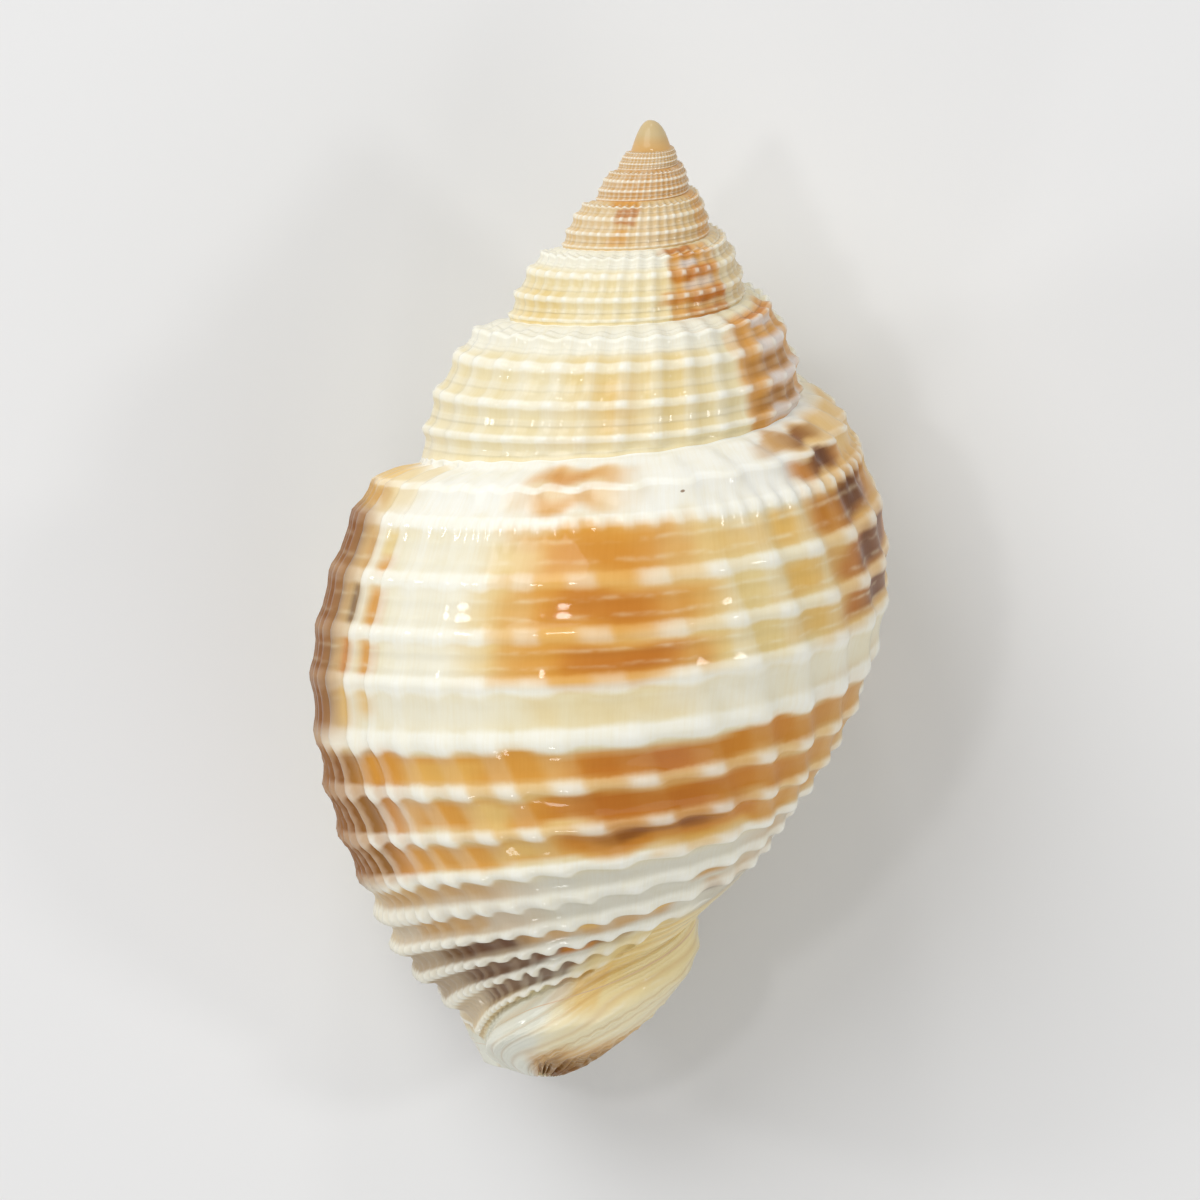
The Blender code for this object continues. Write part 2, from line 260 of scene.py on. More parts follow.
@dataclass
class Netting:
    """Raised spiral cords, axial ribs and the beads where they cross.

    Cords and ribs are counted by two running numbers, the line and the rib. Each rib rises
    steeply on its older side and falls away slowly toward the lip. Heights are in millimetres
    at size 1, and "more" and "less" say how a zone of the shell differs from them. A calm
    stretch of the base has straight thin cords, a leafy one has broad waved cords.
    """

    spire_lines: list[float] = field(default_factory=lambda: [
        0.0, 1.1, 2.3, 3.3, 4.35, 5.35, 6.2, 7.0])
    body_lines: list[float] = field(default_factory=lambda: [
        0.0, 1.3, 2.12, 3.05, 4.1, 5.02, 6.05, 7.0, 8.1, 9.3, 10.4, 11.55, 12.65, 13.8, 15.4,
        16.4, 17.4])
    rib_places: list[float] = field(default_factory=lambda: [
        -0.62, -0.583, -0.545, -0.508, -0.474, -0.437, -0.395, -0.35, -0.307, -0.275, -0.245,
        -0.2173, -0.1968, -0.17, -0.1523, -0.138, -0.126])
    spire_ribs: Table = field(default_factory=lambda: [
        (-6.0, 44.0), (-3.0, 44.0), (-2.0, 36.0), (-1.0, 28.0), (-0.62, 26.0)])
    lip_ribs: float = 78.0
    slant_from: float = 6.0
    slant_low: float = 0.013
    slant_high: float = 0.011
    flank: float = 0.34
    even_crest: float = 0.2
    even_narrowing: float = 1.3
    fine_line: float = 2.0
    fine_reach: float = 0.35
    fine_beads: float = 2.5
    offset: float = 0.5
    cord_foot: float = 0.2
    cord_less_back: float = 0.38
    cord_less_left: float = 0.55
    cord_less_older: float = 0.3
    drop_offset: float = 0.4
    drop_less_calm: float = 0.7
    swell_less_calm: float = 0.6
    swell_more_leaf: float = 0.4
    width_less_calm: float = 0.35
    width_less_leaf: float = 0.4
    rib_height: float = 0.15
    rib_more_left: float = 0.13
    rib_less_low_left: float = 0.2
    rib_less_back: float = 0.12
    rib_more_low_back: float = 0.04
    rib_more_spire: float = 0.13
    rib_more_right: float = 0.07
    bead_height: float = 0.05
    bead_more_low: float = 0.05
    bead_more_left: float = 0.04
    bead_more_right: float = 0.06
    bead_more_spire: float = 0.1
    lamella_climb: float = 20.0
    lamella_gap: float = 0.85
    lamella_rise: float = 0.16
    lamella_flank: float = 0.3
    lamella_waver: float = 0.22
    lamella_drift: float = 0.3
    fasciole_edge: float = 0.8
    fasciole: Table = field(default_factory=lambda: [
        (-1.0, 11.6), (-0.52, 11.8), (-0.47, 12.2), (-0.445, 12.9), (-0.425, 15.0), (-0.4, 15.8),
        (-0.3, 15.9), (-0.2, 15.4), (0.0, 14.9)])
    spire_relief: Table = field(default_factory=lambda: [
        (-6.0, 0.15), (-4.5, 0.24), (-2.5, 0.28), (-1.6, 0.2), (-1.0, 0.1), (-0.7, 0.0)])
    cord_height: Table = field(default_factory=lambda: [
        (0.0, 0.1), (2.0, 0.2), (4.0, 0.2), (6.0, 0.25), (8.0, 0.29), (9.0, 0.31), (10.0, 0.31),
        (12.0, 0.32), (14.0, 0.3), (15.0, 0.24), (17.0, 0.2)])
    cord_width: Table = field(default_factory=lambda: [
        (0.0, 0.3), (1.0, 0.08), (2.0, 0.12), (3.0, 0.11), (5.0, 0.13), (6.0, 0.17), (7.0, 0.09),
        (8.0, 0.09), (9.0, 0.13), (10.0, 0.2), (12.0, 0.17), (14.0, 0.14), (17.0, 0.14)])
    cord_swell: Table = field(default_factory=lambda: [
        (0.0, 0.0), (2.0, 0.03), (4.0, 0.05), (6.0, 0.08), (7.0, 0.08), (9.0, 0.09), (11.0, 0.12),
        (12.0, 0.16), (17.0, 0.16)])
    cord_drop: Table = field(default_factory=lambda: [
        (0.0, 0.0), (1.0, 0.16), (2.0, 0.02), (4.0, 0.02), (6.0, 0.03), (7.0, 0.03), (8.0, 0.04),
        (9.0, 0.06), (10.0, 0.1), (11.0, 0.14), (12.0, 0.22), (13.0, 0.28), (17.0, 0.26)])

    def __post_init__(self) -> None:
        """Number the ribs over the whole coil, 0 at the first rib place."""
        places = through(list(enumerate(self.rib_places)), 6)
        back = np.linspace(self.spire_ribs[0][0], self.rib_places[0], 4000)
        density = along_table(back, self.spire_ribs)
        counts = np.concatenate([[0.0], np.cumsum((density[1:] + density[:-1]) / 2 * np.diff(back))])
        at_lip = len(self.rib_places) - 1 - self.rib_places[-1] * self.lip_ribs
        self.rib_turns = np.concatenate([back[:-1], places[:, 1], [0.0]])
        self.rib_counts = np.concatenate([counts[:-1] - counts[-1], places[:, 0], [at_lip]])

    def body_share(self, t: float) -> float:
        """How far turn t belongs to the body whorl and not to the spire."""
        return ramp(t, -1.25, -0.85)

    def rib_count(self, t: np.ndarray | float) -> np.ndarray:
        """Running rib count at turn t."""
        return np.interp(t, self.rib_turns, self.rib_counts)

    def rib_at(self, t: float, cord: np.ndarray) -> np.ndarray:
        """Running rib count with the ribs' slant: down and back on the base."""
        right = ramp(t, -0.25, -0.35) * ramp(t, -1.0, -0.7)
        low = np.maximum(cord - self.slant_from, 0.0) * self.slant_low * ramp(t, -1.0, -0.8)
        high = np.minimum(cord - self.slant_from, 0.0) * self.slant_high * right
        return self.rib_count(t + low + high)

    def line_at(self, t: float, cord: np.ndarray) -> np.ndarray:
        """Running cord line."""
        spire = np.interp(cord, self.spire_lines, np.arange(len(self.spire_lines)))
        body = np.interp(cord, self.body_lines, np.arange(len(self.body_lines)))
        return spire + (body - spire) * ramp(t, -1.3, -0.8)

    def ridge_at(self, t: float, cord: np.ndarray, line: np.ndarray) -> np.ndarray:
        """Rib mask from 0 to 1: steep behind on the back, even elsewhere, fine on one cord."""
        rib = self.rib_at(t, cord)
        u = rib - np.floor(rib)
        steep = ramp(u, 0.0, self.flank) * ramp(u, 1.0, self.flank)
        even = (0.5 + 0.5 * np.cos(TURN_ROUND * (u - self.even_crest))) ** self.even_narrowing
        off_back = ramp(t, -0.26, -0.2) + ramp(t, -1.0, -1.3)
        even_share = np.minimum(off_back + 0.4 * ramp(line, 8.5, 10.0), 1.0)
        ridge = steep + (even - steep) * even_share
        near_line = np.exp(-((line - self.fine_line) / self.fine_reach) ** 2)
        fine_share = near_line * ramp(t, -0.7, -0.6) * (1.0 - min(off_back, 1.0))
        fine = 0.5 + 0.5 * np.cos(TURN_ROUND * self.fine_beads * rib)
        return ridge + (fine - ridge) * fine_share

    def masks(self, t: float, cord: np.ndarray) -> tuple[np.ndarray, np.ndarray, np.ndarray, np.ndarray]:
        """Where cords and ribs stand.

        Args:
            t: Turn.
            cord: Cord counts.

        Returns:
            Cord mask and rib mask from 0 to 1, the running line and the cord's half-width.
        """
        line = self.line_at(t, cord)
        ridge = self.ridge_at(t, cord, line)
        body = self.body_share(t)
        older = ramp(t, -0.27, -0.32)
        leaf = older * ramp(line, 11.0, 12.0)
        calm = (1.0 - older) * ramp(line, 9.5, 11.0)
        drop = body * along_table(line, self.cord_drop) * (1.0 - self.drop_less_calm * calm)
        swell = 1.0 - self.swell_less_calm * calm + self.swell_more_leaf * leaf
        swell = swell * body * along_table(line, self.cord_swell)
        width = 1.0 - self.width_less_leaf * leaf - self.width_less_calm * calm
        width = width * along_table(line, self.cord_width) + swell * ridge
        line = line - drop * (ridge - self.drop_offset)
        off = np.abs(line - np.round(line))
        crest = 1.0 - ramp(off, 0.0, self.cord_foot + width)
        return crest, ridge, line, width

    def rise(self, t: float, cord: np.ndarray) -> tuple[np.ndarray, np.ndarray]:
        """Relief over the smooth outside at size 1.

        Args:
            t: Turn.
            cord: Cord counts.

        Returns:
            Heights in millimetres, and the values written on the corners: running line, rib
            mask and cord half-width.
        """
        crest, ridge, line, width = self.masks(t, cord)
        body = self.body_share(t)
        spire = 1.0 - body
        back = ramp(t, -0.5, -0.4) * ramp(t, -0.2, -0.27)
        right = ramp(t, -0.42, -0.5) * body
        left = ramp(t, -0.25, -0.18)
        older = ramp(t, -0.46, -0.54) * ramp(t, -0.9, -0.7)
        low = ramp(line, 5.2, 6.4)
        base = ramp(line, 8.5, 10.5)
        shoulder = ramp(line, 2.0, 1.2) * body
        high = along_table(line, self.cord_height) * (1.0 - self.cord_less_back * body * back * (1.0 - low))
        high = high * (1.0 - self.cord_less_left * left * (1.0 - base)) * (1.0 - self.cord_less_older * older)
        high = high + along_table(t, self.spire_relief)
        ribs = self.rib_height + left * (self.rib_more_left - self.rib_less_low_left * base)
        ribs = ribs - back * (self.rib_less_back - self.rib_more_low_back * low)
        ribs = ribs + self.rib_more_spire * spire
        ribs = ribs + self.rib_more_right * (shoulder * back + right * (1.0 - base))
        bead = self.bead_height + self.bead_more_low * low + self.bead_more_left * left
        bead = (bead + self.bead_more_right * right + self.bead_more_spire * spire) * crest * ridge
        height = (crest - self.offset) * high + (ridge - self.offset) * ribs + bead
        end = along_table(t, self.fasciole)
        shown = ramp(cord, end + self.fasciole_edge, end)
        return height * shown, np.stack([line, ridge * shown, width * shown], axis=-1)

    def lamellae(self, t: float, along: np.ndarray) -> tuple[np.ndarray, np.ndarray]:
        """Heights and running count of the growth folds on the fasciole and neck."""
        count = (along - self.lamella_climb * t) / self.lamella_gap
        count = count + self.lamella_waver * np.sin(2.3 * count)
        count = count + self.lamella_drift * np.sin(9.0 * t + along)
        u = count - np.floor(count)
        fold = ramp(u, 0.0, self.lamella_flank) * ramp(u, 1.0, self.lamella_flank)
        uneven = 0.65 + 0.35 * np.sin(1.9 * count)
        return (fold - 0.4) * self.lamella_rise * uneven, count

    def fade(self, t: float, cord: np.ndarray, seam: float) -> np.ndarray:
        """How far the netting shows: not on the nucleus, at the suture or under the callus."""
        shown = ramp(t, -5.9, -5.5) * ramp(cord, 0.0, 0.45)
        callus = ramp(t, -0.9, -1.0) * ramp(cord, seam, seam + 0.3)
        return shown * (1.0 - callus)


class Region(Enum):
    """What a stretch of surface is, as the shader reads it."""

    OUTSIDE = 0.0
    MOUTH = 1.0
    NECK = 2.0
    NUCLEUS = 3.0


@dataclass
class SurfaceMesh:
    """Vertices, faces and the values on their corners, gathered block by block."""

    verts: list[np.ndarray] = field(default_factory=list)
    count: int = 0
    faces: list[np.ndarray] = field(default_factory=list)

    def add_verts(self, points: np.ndarray) -> np.ndarray:
        """Add points, one per row, and give their numbers."""
        self.verts.append(points.reshape(-1, 3))
        first = self.count
        self.count += len(self.verts[-1])
        return np.arange(first, self.count)

    def add_faces(self, corners: np.ndarray) -> None:
        """Add faces with one number of corners, given as faces by corners by corner values."""
        self.faces.append(corners)

    def add_block(self, block: np.ndarray) -> None:
        """Add the quads of a block of columns by rows by corner values."""
        quads = np.stack([block[1:, :-1], block[1:, 1:], block[:-1, 1:], block[:-1, :-1]], axis=2)
        self.add_faces(quads.reshape(-1, 4, block.shape[2]))

    def build(self, name: str) -> bpy.types.Mesh:
        """Make the mesh with its corner values.

        Args:
            name: Name of the mesh.

        Returns:
            The mesh, smooth shaded.
        """
        mesh = bpy.data.meshes.new(name)
        polygons = [list(map(int, face[:, VERTEX])) for group in self.faces for face in group]
        mesh.from_pydata(np.vstack(self.verts).tolist(), [], polygons)
        values = np.vstack([group.reshape(-1, CORNER_VALUES) for group in self.faces])
        growth = np.column_stack([values[:, ON_FOLDS], np.zeros(len(values))])
        for title, numbers in (("coil", values[:, ON_COIL]), ("net", values[:, ON_NET]), ("growth", growth)):
            layer = mesh.attributes.new(title, "FLOAT_VECTOR", "CORNER")
            layer.data.foreach_set("vector", numbers.astype(np.float32).ravel())
        layer = mesh.uv_layers.new(name="OFBake")
        layer.data.foreach_set("uv", values[:, ON_MAP].astype(np.float32).ravel())
        mesh.shade_smooth()
        return mesh


@dataclass
class FineShell:
    """The nutmeg shell as one fine closed surface.

    Whorls are columns of rows: the rows stand at set cord counts, and each whorl's upper
    edge shares its vertices with a row of the whorl before.
    """

    coil: Coil = field(default_factory=Coil)
    netting: Netting = field(default_factory=Netting)
    whorl_columns: list[int] = field(default_factory=lambda: [176, 176, 176, 176, 176, 352])
    crowd: float = 0.35
    crowd_at: float = 0.13
    rows_per_cord: int = 8
    seam: int = 5
    neck_rows: int = 20
    neck_cords: float = 4.0
    scallop: float = 0.02
    softened: Span = (18.5, 17.7)
    folded: Span = (20.9, 20.4)
    broken: Span = (19.9, 20.8)
    soften_rounds: int = 70
    neck_fullness: float = 0.4
    fullest_at: float = 37.0
    fullness_reach: float = 1.7
    chip_waves: tuple[int, int, int] = (41, 13, 67)
    chip_depth: float = 0.16
    chip_bend: float = 0.07
    apex_rings: Table = field(default_factory=lambda: [
        (0.86, 0.3), (0.72, 0.55), (0.55, 0.76), (0.38, 0.9), (0.19, 0.98)])
    neck_rings: Table = field(default_factory=lambda: [(0.6, 0.4)])
    neck_cap: float = 0.1
    canal_cord: float = 15.5
    canal_reach: float = 2.5
    wall_deep: float = 0.4275
    wall_more_near: float = 0.7125
    neck_wall: float = 0.7
    lira_rise: float = 0.22
    lira_cords: Span = (2.5, 13.5)
    parietal_step: float = 0.45
    mouth_turns: list[float] = field(default_factory=lambda: [
        -0.003, -0.006, -0.015, -0.03, -0.05, -0.08, -0.12, -0.16, -0.205, -0.25, -0.3, -0.35,
        -0.4, -0.45, -0.51, -0.58, -0.66, -0.75])
    roll: float = 5.08
    pitch: float = 8.17
    centre: Point = (-0.93642, -20.86584, -12.78361)
    uv_across: Span = (0.004, 0.996)
    uv_strips: Table = field(default_factory=lambda: [
        (0.768, 0.782), (0.735, 0.76), (0.685, 0.725), (0.615, 0.675), (0.51, 0.605), (0.002, 0.5)])
    uv_mouth: Span = (0.795, 0.965)
    uv_apex: Span = (0.02, 0.984)
    uv_neck: Span = (0.06, 0.984)
    uv_cap: float = 0.012

    def __post_init__(self) -> None:
        """Work out the rows that the seams and the base end on."""
        self.seam_row = self.seam * self.rows_per_cord
        self.base_row = self.coil.count * self.rows_per_cord
        self.first_turn = float(-len(self.whorl_columns))

    def turns(self, whorl: int) -> np.ndarray:
        """Turns of a whorl's columns, crowded together on the back of the shell."""
        s = np.linspace(0.0, 1.0, self.whorl_columns[whorl] + 1)
        wave = np.sin(TURN_ROUND * (s - self.crowd_at)) + math.sin(TURN_ROUND * self.crowd_at)
        return self.first_turn + whorl + s + self.crowd / TURN_ROUND * wave

    def seam_at(self, t: float) -> float:
        """Cord count of the next whorl's scalloped upper edge on whorl t."""
        wave = math.cos(TURN_ROUND * self.netting.rib_count(t + 1.0))
        return self.coil.seam_cord(t) + self.scallop * wave * ramp(t, -4.5, -3.5)

    def row_cords(self, t: float, rows: int) -> np.ndarray:
        """Cord counts of the rows of whorl t, with a row on the next whorl's edge."""
        base = np.arange(rows) / self.rows_per_cord
        seam = self.seam_at(t) if t <= -1.0 else self.coil.seam_cord(t)
        seam += (self.seam - seam) * ramp(t, -1.0, -0.9)
        return base + (seam - self.seam) * np.clip(1.0 - np.abs(base - self.seam), 0.0, 1.0)

    def section(self, t: float, cords: np.ndarray) -> tuple[np.ndarray, np.ndarray, np.ndarray]:
        """Outside of the shell at turn t with its relief.

        Args:
            t: Turn.
            cords: Cord counts of the rows, from the suture to the end of the base.

        Returns:
            Radii, distances from the apex, and the netting's values.
        """
        radius, along = self.coil.outer(t, cords)
        if t > self.first_turn + 1.0:
            smooth_edge = self.coil.outer(t - 1.0, self.coil.seam_cord(t - 1.0))
            real_edge = self.coil.outer(t - 1.0, self.seam_at(t - 1.0))
            near = ramp(cords, 0.8, 0.0)
            radius = radius + (real_edge[0] - smooth_edge[0]) * near
            along = along + (real_edge[1] - smooth_edge[1]) * near
        seam = self.coil.seam_cord(t) if t < -0.9 else float(self.seam)
        shown = self.netting.fade(t, cords, seam)
        if t <= -1.0:
            covered = self.seam_at(t)
            shown = shown * ramp(cords, covered, covered - 0.35)
        height, net = self.netting.rise(t, cords)
        height = height * shown * self.coil.girth(t)
        radius, along = self.push_out(radius, along, height)
        net[:, 1:] *= shown[:, None]
        return radius, along, net

    def push_out(self, radius: np.ndarray, along: np.ndarray,
                 height: np.ndarray) -> tuple[np.ndarray, np.ndarray]:
        """Move the points of one column outward by their heights."""
        run_r = np.gradient(radius)
        run_a = np.gradient(along)
        size = np.hypot(run_r, run_a)
        return radius + height * run_a / size, along - height * run_r / size

    def finish_neck(self, t: float, radius: np.ndarray, along: np.ndarray,
                    row: np.ndarray) -> tuple[np.ndarray, np.ndarray, np.ndarray]:
        """Blend the base into the neck and add the lamellae and the broken tip.

        Args:
            t: Turn.
            radius: Radii down the column, base and neck.
            along: Distances from the apex.
            row: Cord counts of the rows, 17 to 21 on the neck.

        Returns:
            Radii, distances from the apex, and the lamella count with how far it shows.
        """
        start = along_table(t, self.netting.fasciole)
        shown = ramp(row, start, start + self.netting.fasciole_edge)
        shown = shown * ramp(t, -0.8, -0.68) * ramp(t, -0.01, -0.06)
        right = ramp(t, -0.43, -0.5) * ramp(t, -0.85, -0.75)
        weight = shown * ramp(row, *self.softened) * (1.0 - 0.8 * right)
        radius = radius.copy()
        along = along.copy()
        for _ in range(self.soften_rounds):
            for curve in (radius, along):
                curve[1:-1] += weight[1:-1] * 0.5 * (0.5 * (curve[:-2] + curve[2:]) - curve[1:-1])
        full = np.exp(-((along - self.fullest_at) / self.fullness_reach) ** 2)
        radius = radius + self.neck_fullness * right * full
        height, count = self.netting.lamellae(t, along)
        radius, along = self.push_out(radius, along, height * shown * ramp(row, *self.folded))
        broken = ramp(row, *self.broken) * ramp(t, -0.62, -0.57) * ramp(t, -0.33, -0.39)
        coarse, slow, fine = (TURN_ROUND * waves * t for waves in self.chip_waves)
        chip = math.sin(coarse + 2.0 * math.sin(slow))
        along = along - broken * self.chip_depth * (1.0 + chip)
        radius = radius + broken * self.chip_bend * np.sin(fine + 5.0 * row)
        return radius, along, np.stack([count, shown], axis=-1)

    def lay_down(self, points: np.ndarray) -> np.ndarray:
        """Turn and move points from the coil's own axes to how the shell lies, in metres."""
        roll = Matrix.Rotation(math.radians(self.roll), 3, "Y")
        turn = Matrix.Rotation(math.radians(self.pitch), 3, "X") @ roll
        return (points @ np.array(turn).T - self.centre) * MM

    def whorl_points(self, whorl: int) -> tuple[np.ndarray, np.ndarray]:
        """Points of one whorl and their corner values, without vertex numbers.

        Args:
            whorl: The whorl's number, 0 at the apex.

        Returns:
            Points and corner values, both columns by rows.
        """
        last = whorl == len(self.whorl_columns) - 1
        base_rows = (self.base_row if last else self.seam_row) + 1
        turns = self.turns(whorl)
        rows = base_rows + (self.neck_rows if last else 0)
        points = np.zeros((len(turns), rows, 3))
        values = np.zeros((len(turns), rows, CORNER_VALUES))
        for column, t in enumerate(turns):
            cords = self.row_cords(t, base_rows)
            radius, along, net = self.section(t, cords)
            values[column, :base_rows, CORD] = cords
            values[column, :base_rows, ON_NET] = net
            if last:
                q = np.arange(1, self.neck_rows + 1) / self.neck_rows
                neck_radius, neck_along = self.coil.neck(t, q, self.coil.length)
                row = np.concatenate([cords, cords[-1] + self.neck_cords * q])
                radius = np.concatenate([radius, neck_radius])
                along = np.concatenate([along, neck_along])
                radius, along, values[column, :, ON_FOLDS] = self.finish_neck(t, radius, along, row)
                values[column, base_rows:, CORD] = row[base_rows:]
                values[column, base_rows:, REGION] = Region.NECK.value
                values[column, base_rows:, LINE] = net[-1, 0] + self.neck_cords * q
            values[column, :, TURN] = t
            points[column] = self.coil.place(t, radius, along)
        values[:, :, U] = np.linspace(*self.uv_across, len(turns))[:, None]
        values[:, :, V] = np.linspace(*self.uv_strips[whorl], rows)[None, :]
        return points, values

    def add_edge(self, surface: SurfaceMesh, whorl: int, before: np.ndarray | None) -> np.ndarray:
        """Add the vertices of a whorl's upper edge, which lie on the whorl before it.

        Args:
            surface: The mesh being gathered.
            whorl: The whorl whose edge it is.
            before: Vertex numbers of the whorl two before, columns by rows.

        Returns:
            The edge's vertex numbers.
        """
        spots = [self.coil.place(t, *self.coil.outer(t, self.seam_at(t))) for t in self.turns(whorl) - 1.0]
        if before is None:
            return surface.add_verts(np.array(spots))
        return np.concatenate([before[-1:, self.seam_row], surface.add_verts(np.array(spots[1:]))])

    def add_whorl(self, surface: SurfaceMesh, whorl: int, before: np.ndarray | None,
                  edge: np.ndarray | None) -> tuple[np.ndarray, np.ndarray | None]:
        """Add one whorl to the surface.

        Args:
            surface: The mesh being gathered.
            whorl: The whorl's number, 0 at the apex.
            before: Vertex numbers of the whorl before, columns by rows.
            edge: Vertex numbers of this whorl's upper edge.

        Returns:
            Vertex numbers of this whorl, and of the next whorl's upper edge on it.
        """
        points, values = self.whorl_points(whorl)
        ids = np.zeros(points.shape[:2], int)
        own = np.ones(points.shape[:2], bool)
        if edge is not None:
            ids[:, 0] = edge
            own[:, 0] = False
        if before is not None:
            ids[0, :self.seam_row + 1] = before[-1, :self.seam_row + 1]
            own[0, :self.seam_row + 1] = False
        next_edge = None
        ratio = 1
        if whorl + 1 < len(self.whorl_columns):
            next_edge = self.add_edge(surface, whorl + 1, before)
            ratio = self.whorl_columns[whorl + 1] // self.whorl_columns[whorl]
            ids[:, self.seam_row] = next_edge[::ratio]
            own[:, self.seam_row] = False
        if edge is None:
            ids[-1, 0] = next_edge[0]
            own[-1, 0] = False
        ids[own] = surface.add_verts(points[own])
        values[:, :, VERTEX] = ids
        if ratio == 1:
            surface.add_block(values)
            return ids, next_edge
        surface.add_block(values[:, :-1])
        between = 0.5 * (values[:-1, -1] + values[1:, -1])
        between[:, VERTEX] = next_edge[1::2]
        between[:, TURN] = self.turns(whorl + 1)[1::2] - 1.0
        surface.add_faces(np.stack([values[1:, -2], values[1:, -1], between, values[:-1, -1],
                                    values[:-1, -2]], axis=1))
        return ids, next_edge

    def flat_values(self, ids: np.ndarray, turn: float, cord: np.ndarray | float, region: Region,
                    uv: np.ndarray) -> np.ndarray:
        """Corner values of points without netting."""
        values = np.zeros(ids.shape + (CORNER_VALUES,))
        values[..., VERTEX] = ids
        values[..., TURN] = turn
        values[..., CORD] = cord
        values[..., REGION] = region.value
        values[..., LINE] = cord
        values[..., ON_MAP] = uv
        return values

    def add_cap(self, surface: SurfaceMesh, rim: np.ndarray, rings: Table, tip: float, region: Region,
                start: Span, middle: Span) -> None:
        """Close a loop with a rounded cap.

        Args:
            surface: The mesh being gathered.
            rim: Vertex numbers of the loop, in order.
            rings: Share of the rim's width and of the way to the tip's depth, ring by ring.
            tip: Depth of the cap's last point.
            region: What the cap is.
            start: Turn and cord written on the rim's corners.
            middle: Centre of its place in the UV map.
        """
        points = np.vstack(surface.verts)[rim]
        turn, cord = start
        centre = points.mean(axis=0)
        around = TURN_ROUND * np.arange(len(rim)) / len(rim)
        circle = np.stack([np.cos(around), np.sin(around)], axis=-1) * self.uv_cap
        previous = self.flat_values(rim, turn, cord, region, circle + middle)
        for share, lift in rings:
            ring = centre + (points - centre) * share
            ring[:, 1] = points[:, 1] + (tip - points[:, 1]) * lift
            ids = surface.add_verts(ring)
            reached = cord + self.neck_cords * (1.0 - share)
            values = self.flat_values(ids, turn, reached, region, circle * share + middle)
            quads = [np.roll(values, -1, 0), values, previous, np.roll(previous, -1, 0)]
            surface.add_faces(np.stack(quads, axis=1))
            previous = values
        ids = np.full(len(rim), surface.add_verts(np.array([[centre[0], tip, centre[2]]]))[0])
        values = self.flat_values(ids, turn, cord + self.neck_cords, region, np.array(middle))
        surface.add_faces(np.stack([values, previous, np.roll(previous, -1, 0)], axis=1))

    def mouth_ring(self, t: float) -> tuple[np.ndarray, np.ndarray]:
        """Section of the aperture at turn t.

        Args:
            t: Turn, a little behind the lip or deeper.

        Returns:
            Radius and distance from the apex down the outer wall, then up the columella and
            the parietal wall.
        """
        coil = self.coil
        base = self.base_row
        last_row = base + self.neck_rows
        near = ramp(t, 0.0, -0.03)
        deep = ramp(t, -0.01, -0.1)
        sill = coil.outer(t, self.canal_cord)[1]
        bottom = coil.length + (sill - coil.length) * ramp(t, 0.0, -0.06)
        # down the outer wall, ending in the canal
        rows = np.arange(1, last_row + 1)
        canal_from = self.canal_cord - self.canal_reach
        canal_row = canal_from * self.rows_per_cord
        part = (rows - canal_row) / (last_row - canal_row)
        cords = np.where(part > 0, canal_from + part * self.canal_reach, rows / self.rows_per_cord)
        here = np.stack(coil.outer(t, cords), axis=-1)
        run = np.stack(coil.outer(t, np.minimum(cords + 0.25, coil.count)), axis=-1)
        run -= np.stack(coil.outer(t, np.maximum(cords - 0.25, 0.0)), axis=-1)
        inward = np.stack([-np.abs(run[:, 1]), run[:, 0]], axis=-1)
        inward = inward / np.hypot(run[:, 0], run[:, 1])[:, None]
        thick = self.wall_deep + self.wall_more_near * near
        thick = thick * ramp(rows / (3.0 * self.rows_per_cord), -0.3, 0.7)
        lira = np.clip(np.cos(TURN_ROUND * cords), 0.0, 1.0) ** 1.5
        lira = lira * ((cords > self.lira_cords[0]) & (cords < self.lira_cords[1]))
        thick = thick + self.lira_rise * near * lira
        point = here + inward * thick[:, None]
        q = np.clip((rows - base) / self.neck_rows, 0.0, 1.0)
        neck = np.stack(coil.neck(t, q, coil.length), axis=-1) - self.neck_wall * thick[:, None]
        base_rim = np.stack(coil.outer(t, np.minimum(rows / self.rows_per_cord, coil.count)), axis=-1)
        base_rim = base_rim + inward * thick[:, None]
        rim = np.where((rows > base)[:, None], neck, base_rim)
        point = np.where((part > 0)[:, None], rim + (point - rim) * deep, point)
        point[:, 1] = np.minimum(point[:, 1], bottom)
        # up the columella and the parietal wall
        up = np.arange(last_row, self.seam_row - 1, -1)
        q = np.clip((up - base) / self.neck_rows, 0.0, 1.0)
        neck = np.stack(coil.neck(t - 1.0, q, bottom), axis=-1)
        cords = self.row_cords(t - 1.0, base + 1)[np.minimum(up, base)]
        below_seam = np.clip(1.0 - (up / self.rows_per_cord - self.seam) / 3.0, 0.0, 1.0)
        drop = self.parietal_step * below_seam * (0.5 + 0.5 * near)
        wall = np.stack(coil.outer(t - 1.0, cords + drop), axis=-1)
        inner = np.where((up > base)[:, None], neck, wall)
        return point, inner

    def add_mouth(self, surface: SurfaceMesh, ids: np.ndarray) -> None:
        """Add the hollow behind the lip, ring by ring, and its end.

        Args:
            surface: The mesh being gathered.
            ids: Vertex numbers of the last whorl, columns by rows.
        """
        last_row = ids.shape[1] - 1
        rim = np.concatenate([ids[-1, 1:], ids[0, last_row:self.seam_row - 1:-1]])
        rows = np.concatenate([np.arange(1, last_row + 1), np.arange(last_row, self.seam_row - 1, -1)])
        low, high = self.uv_mouth
        across = np.linspace(*self.uv_across, len(rim))

        def ring_values(numbers: np.ndarray, t: float, step: int) -> np.ndarray:
            """Corner values of a ring."""
            v = low + (high - low) * step / len(self.mouth_turns)
            uv = np.stack([across, np.full(len(across), v)], axis=-1)
            return self.flat_values(numbers, t, rows / self.rows_per_cord, Region.MOUTH, uv)

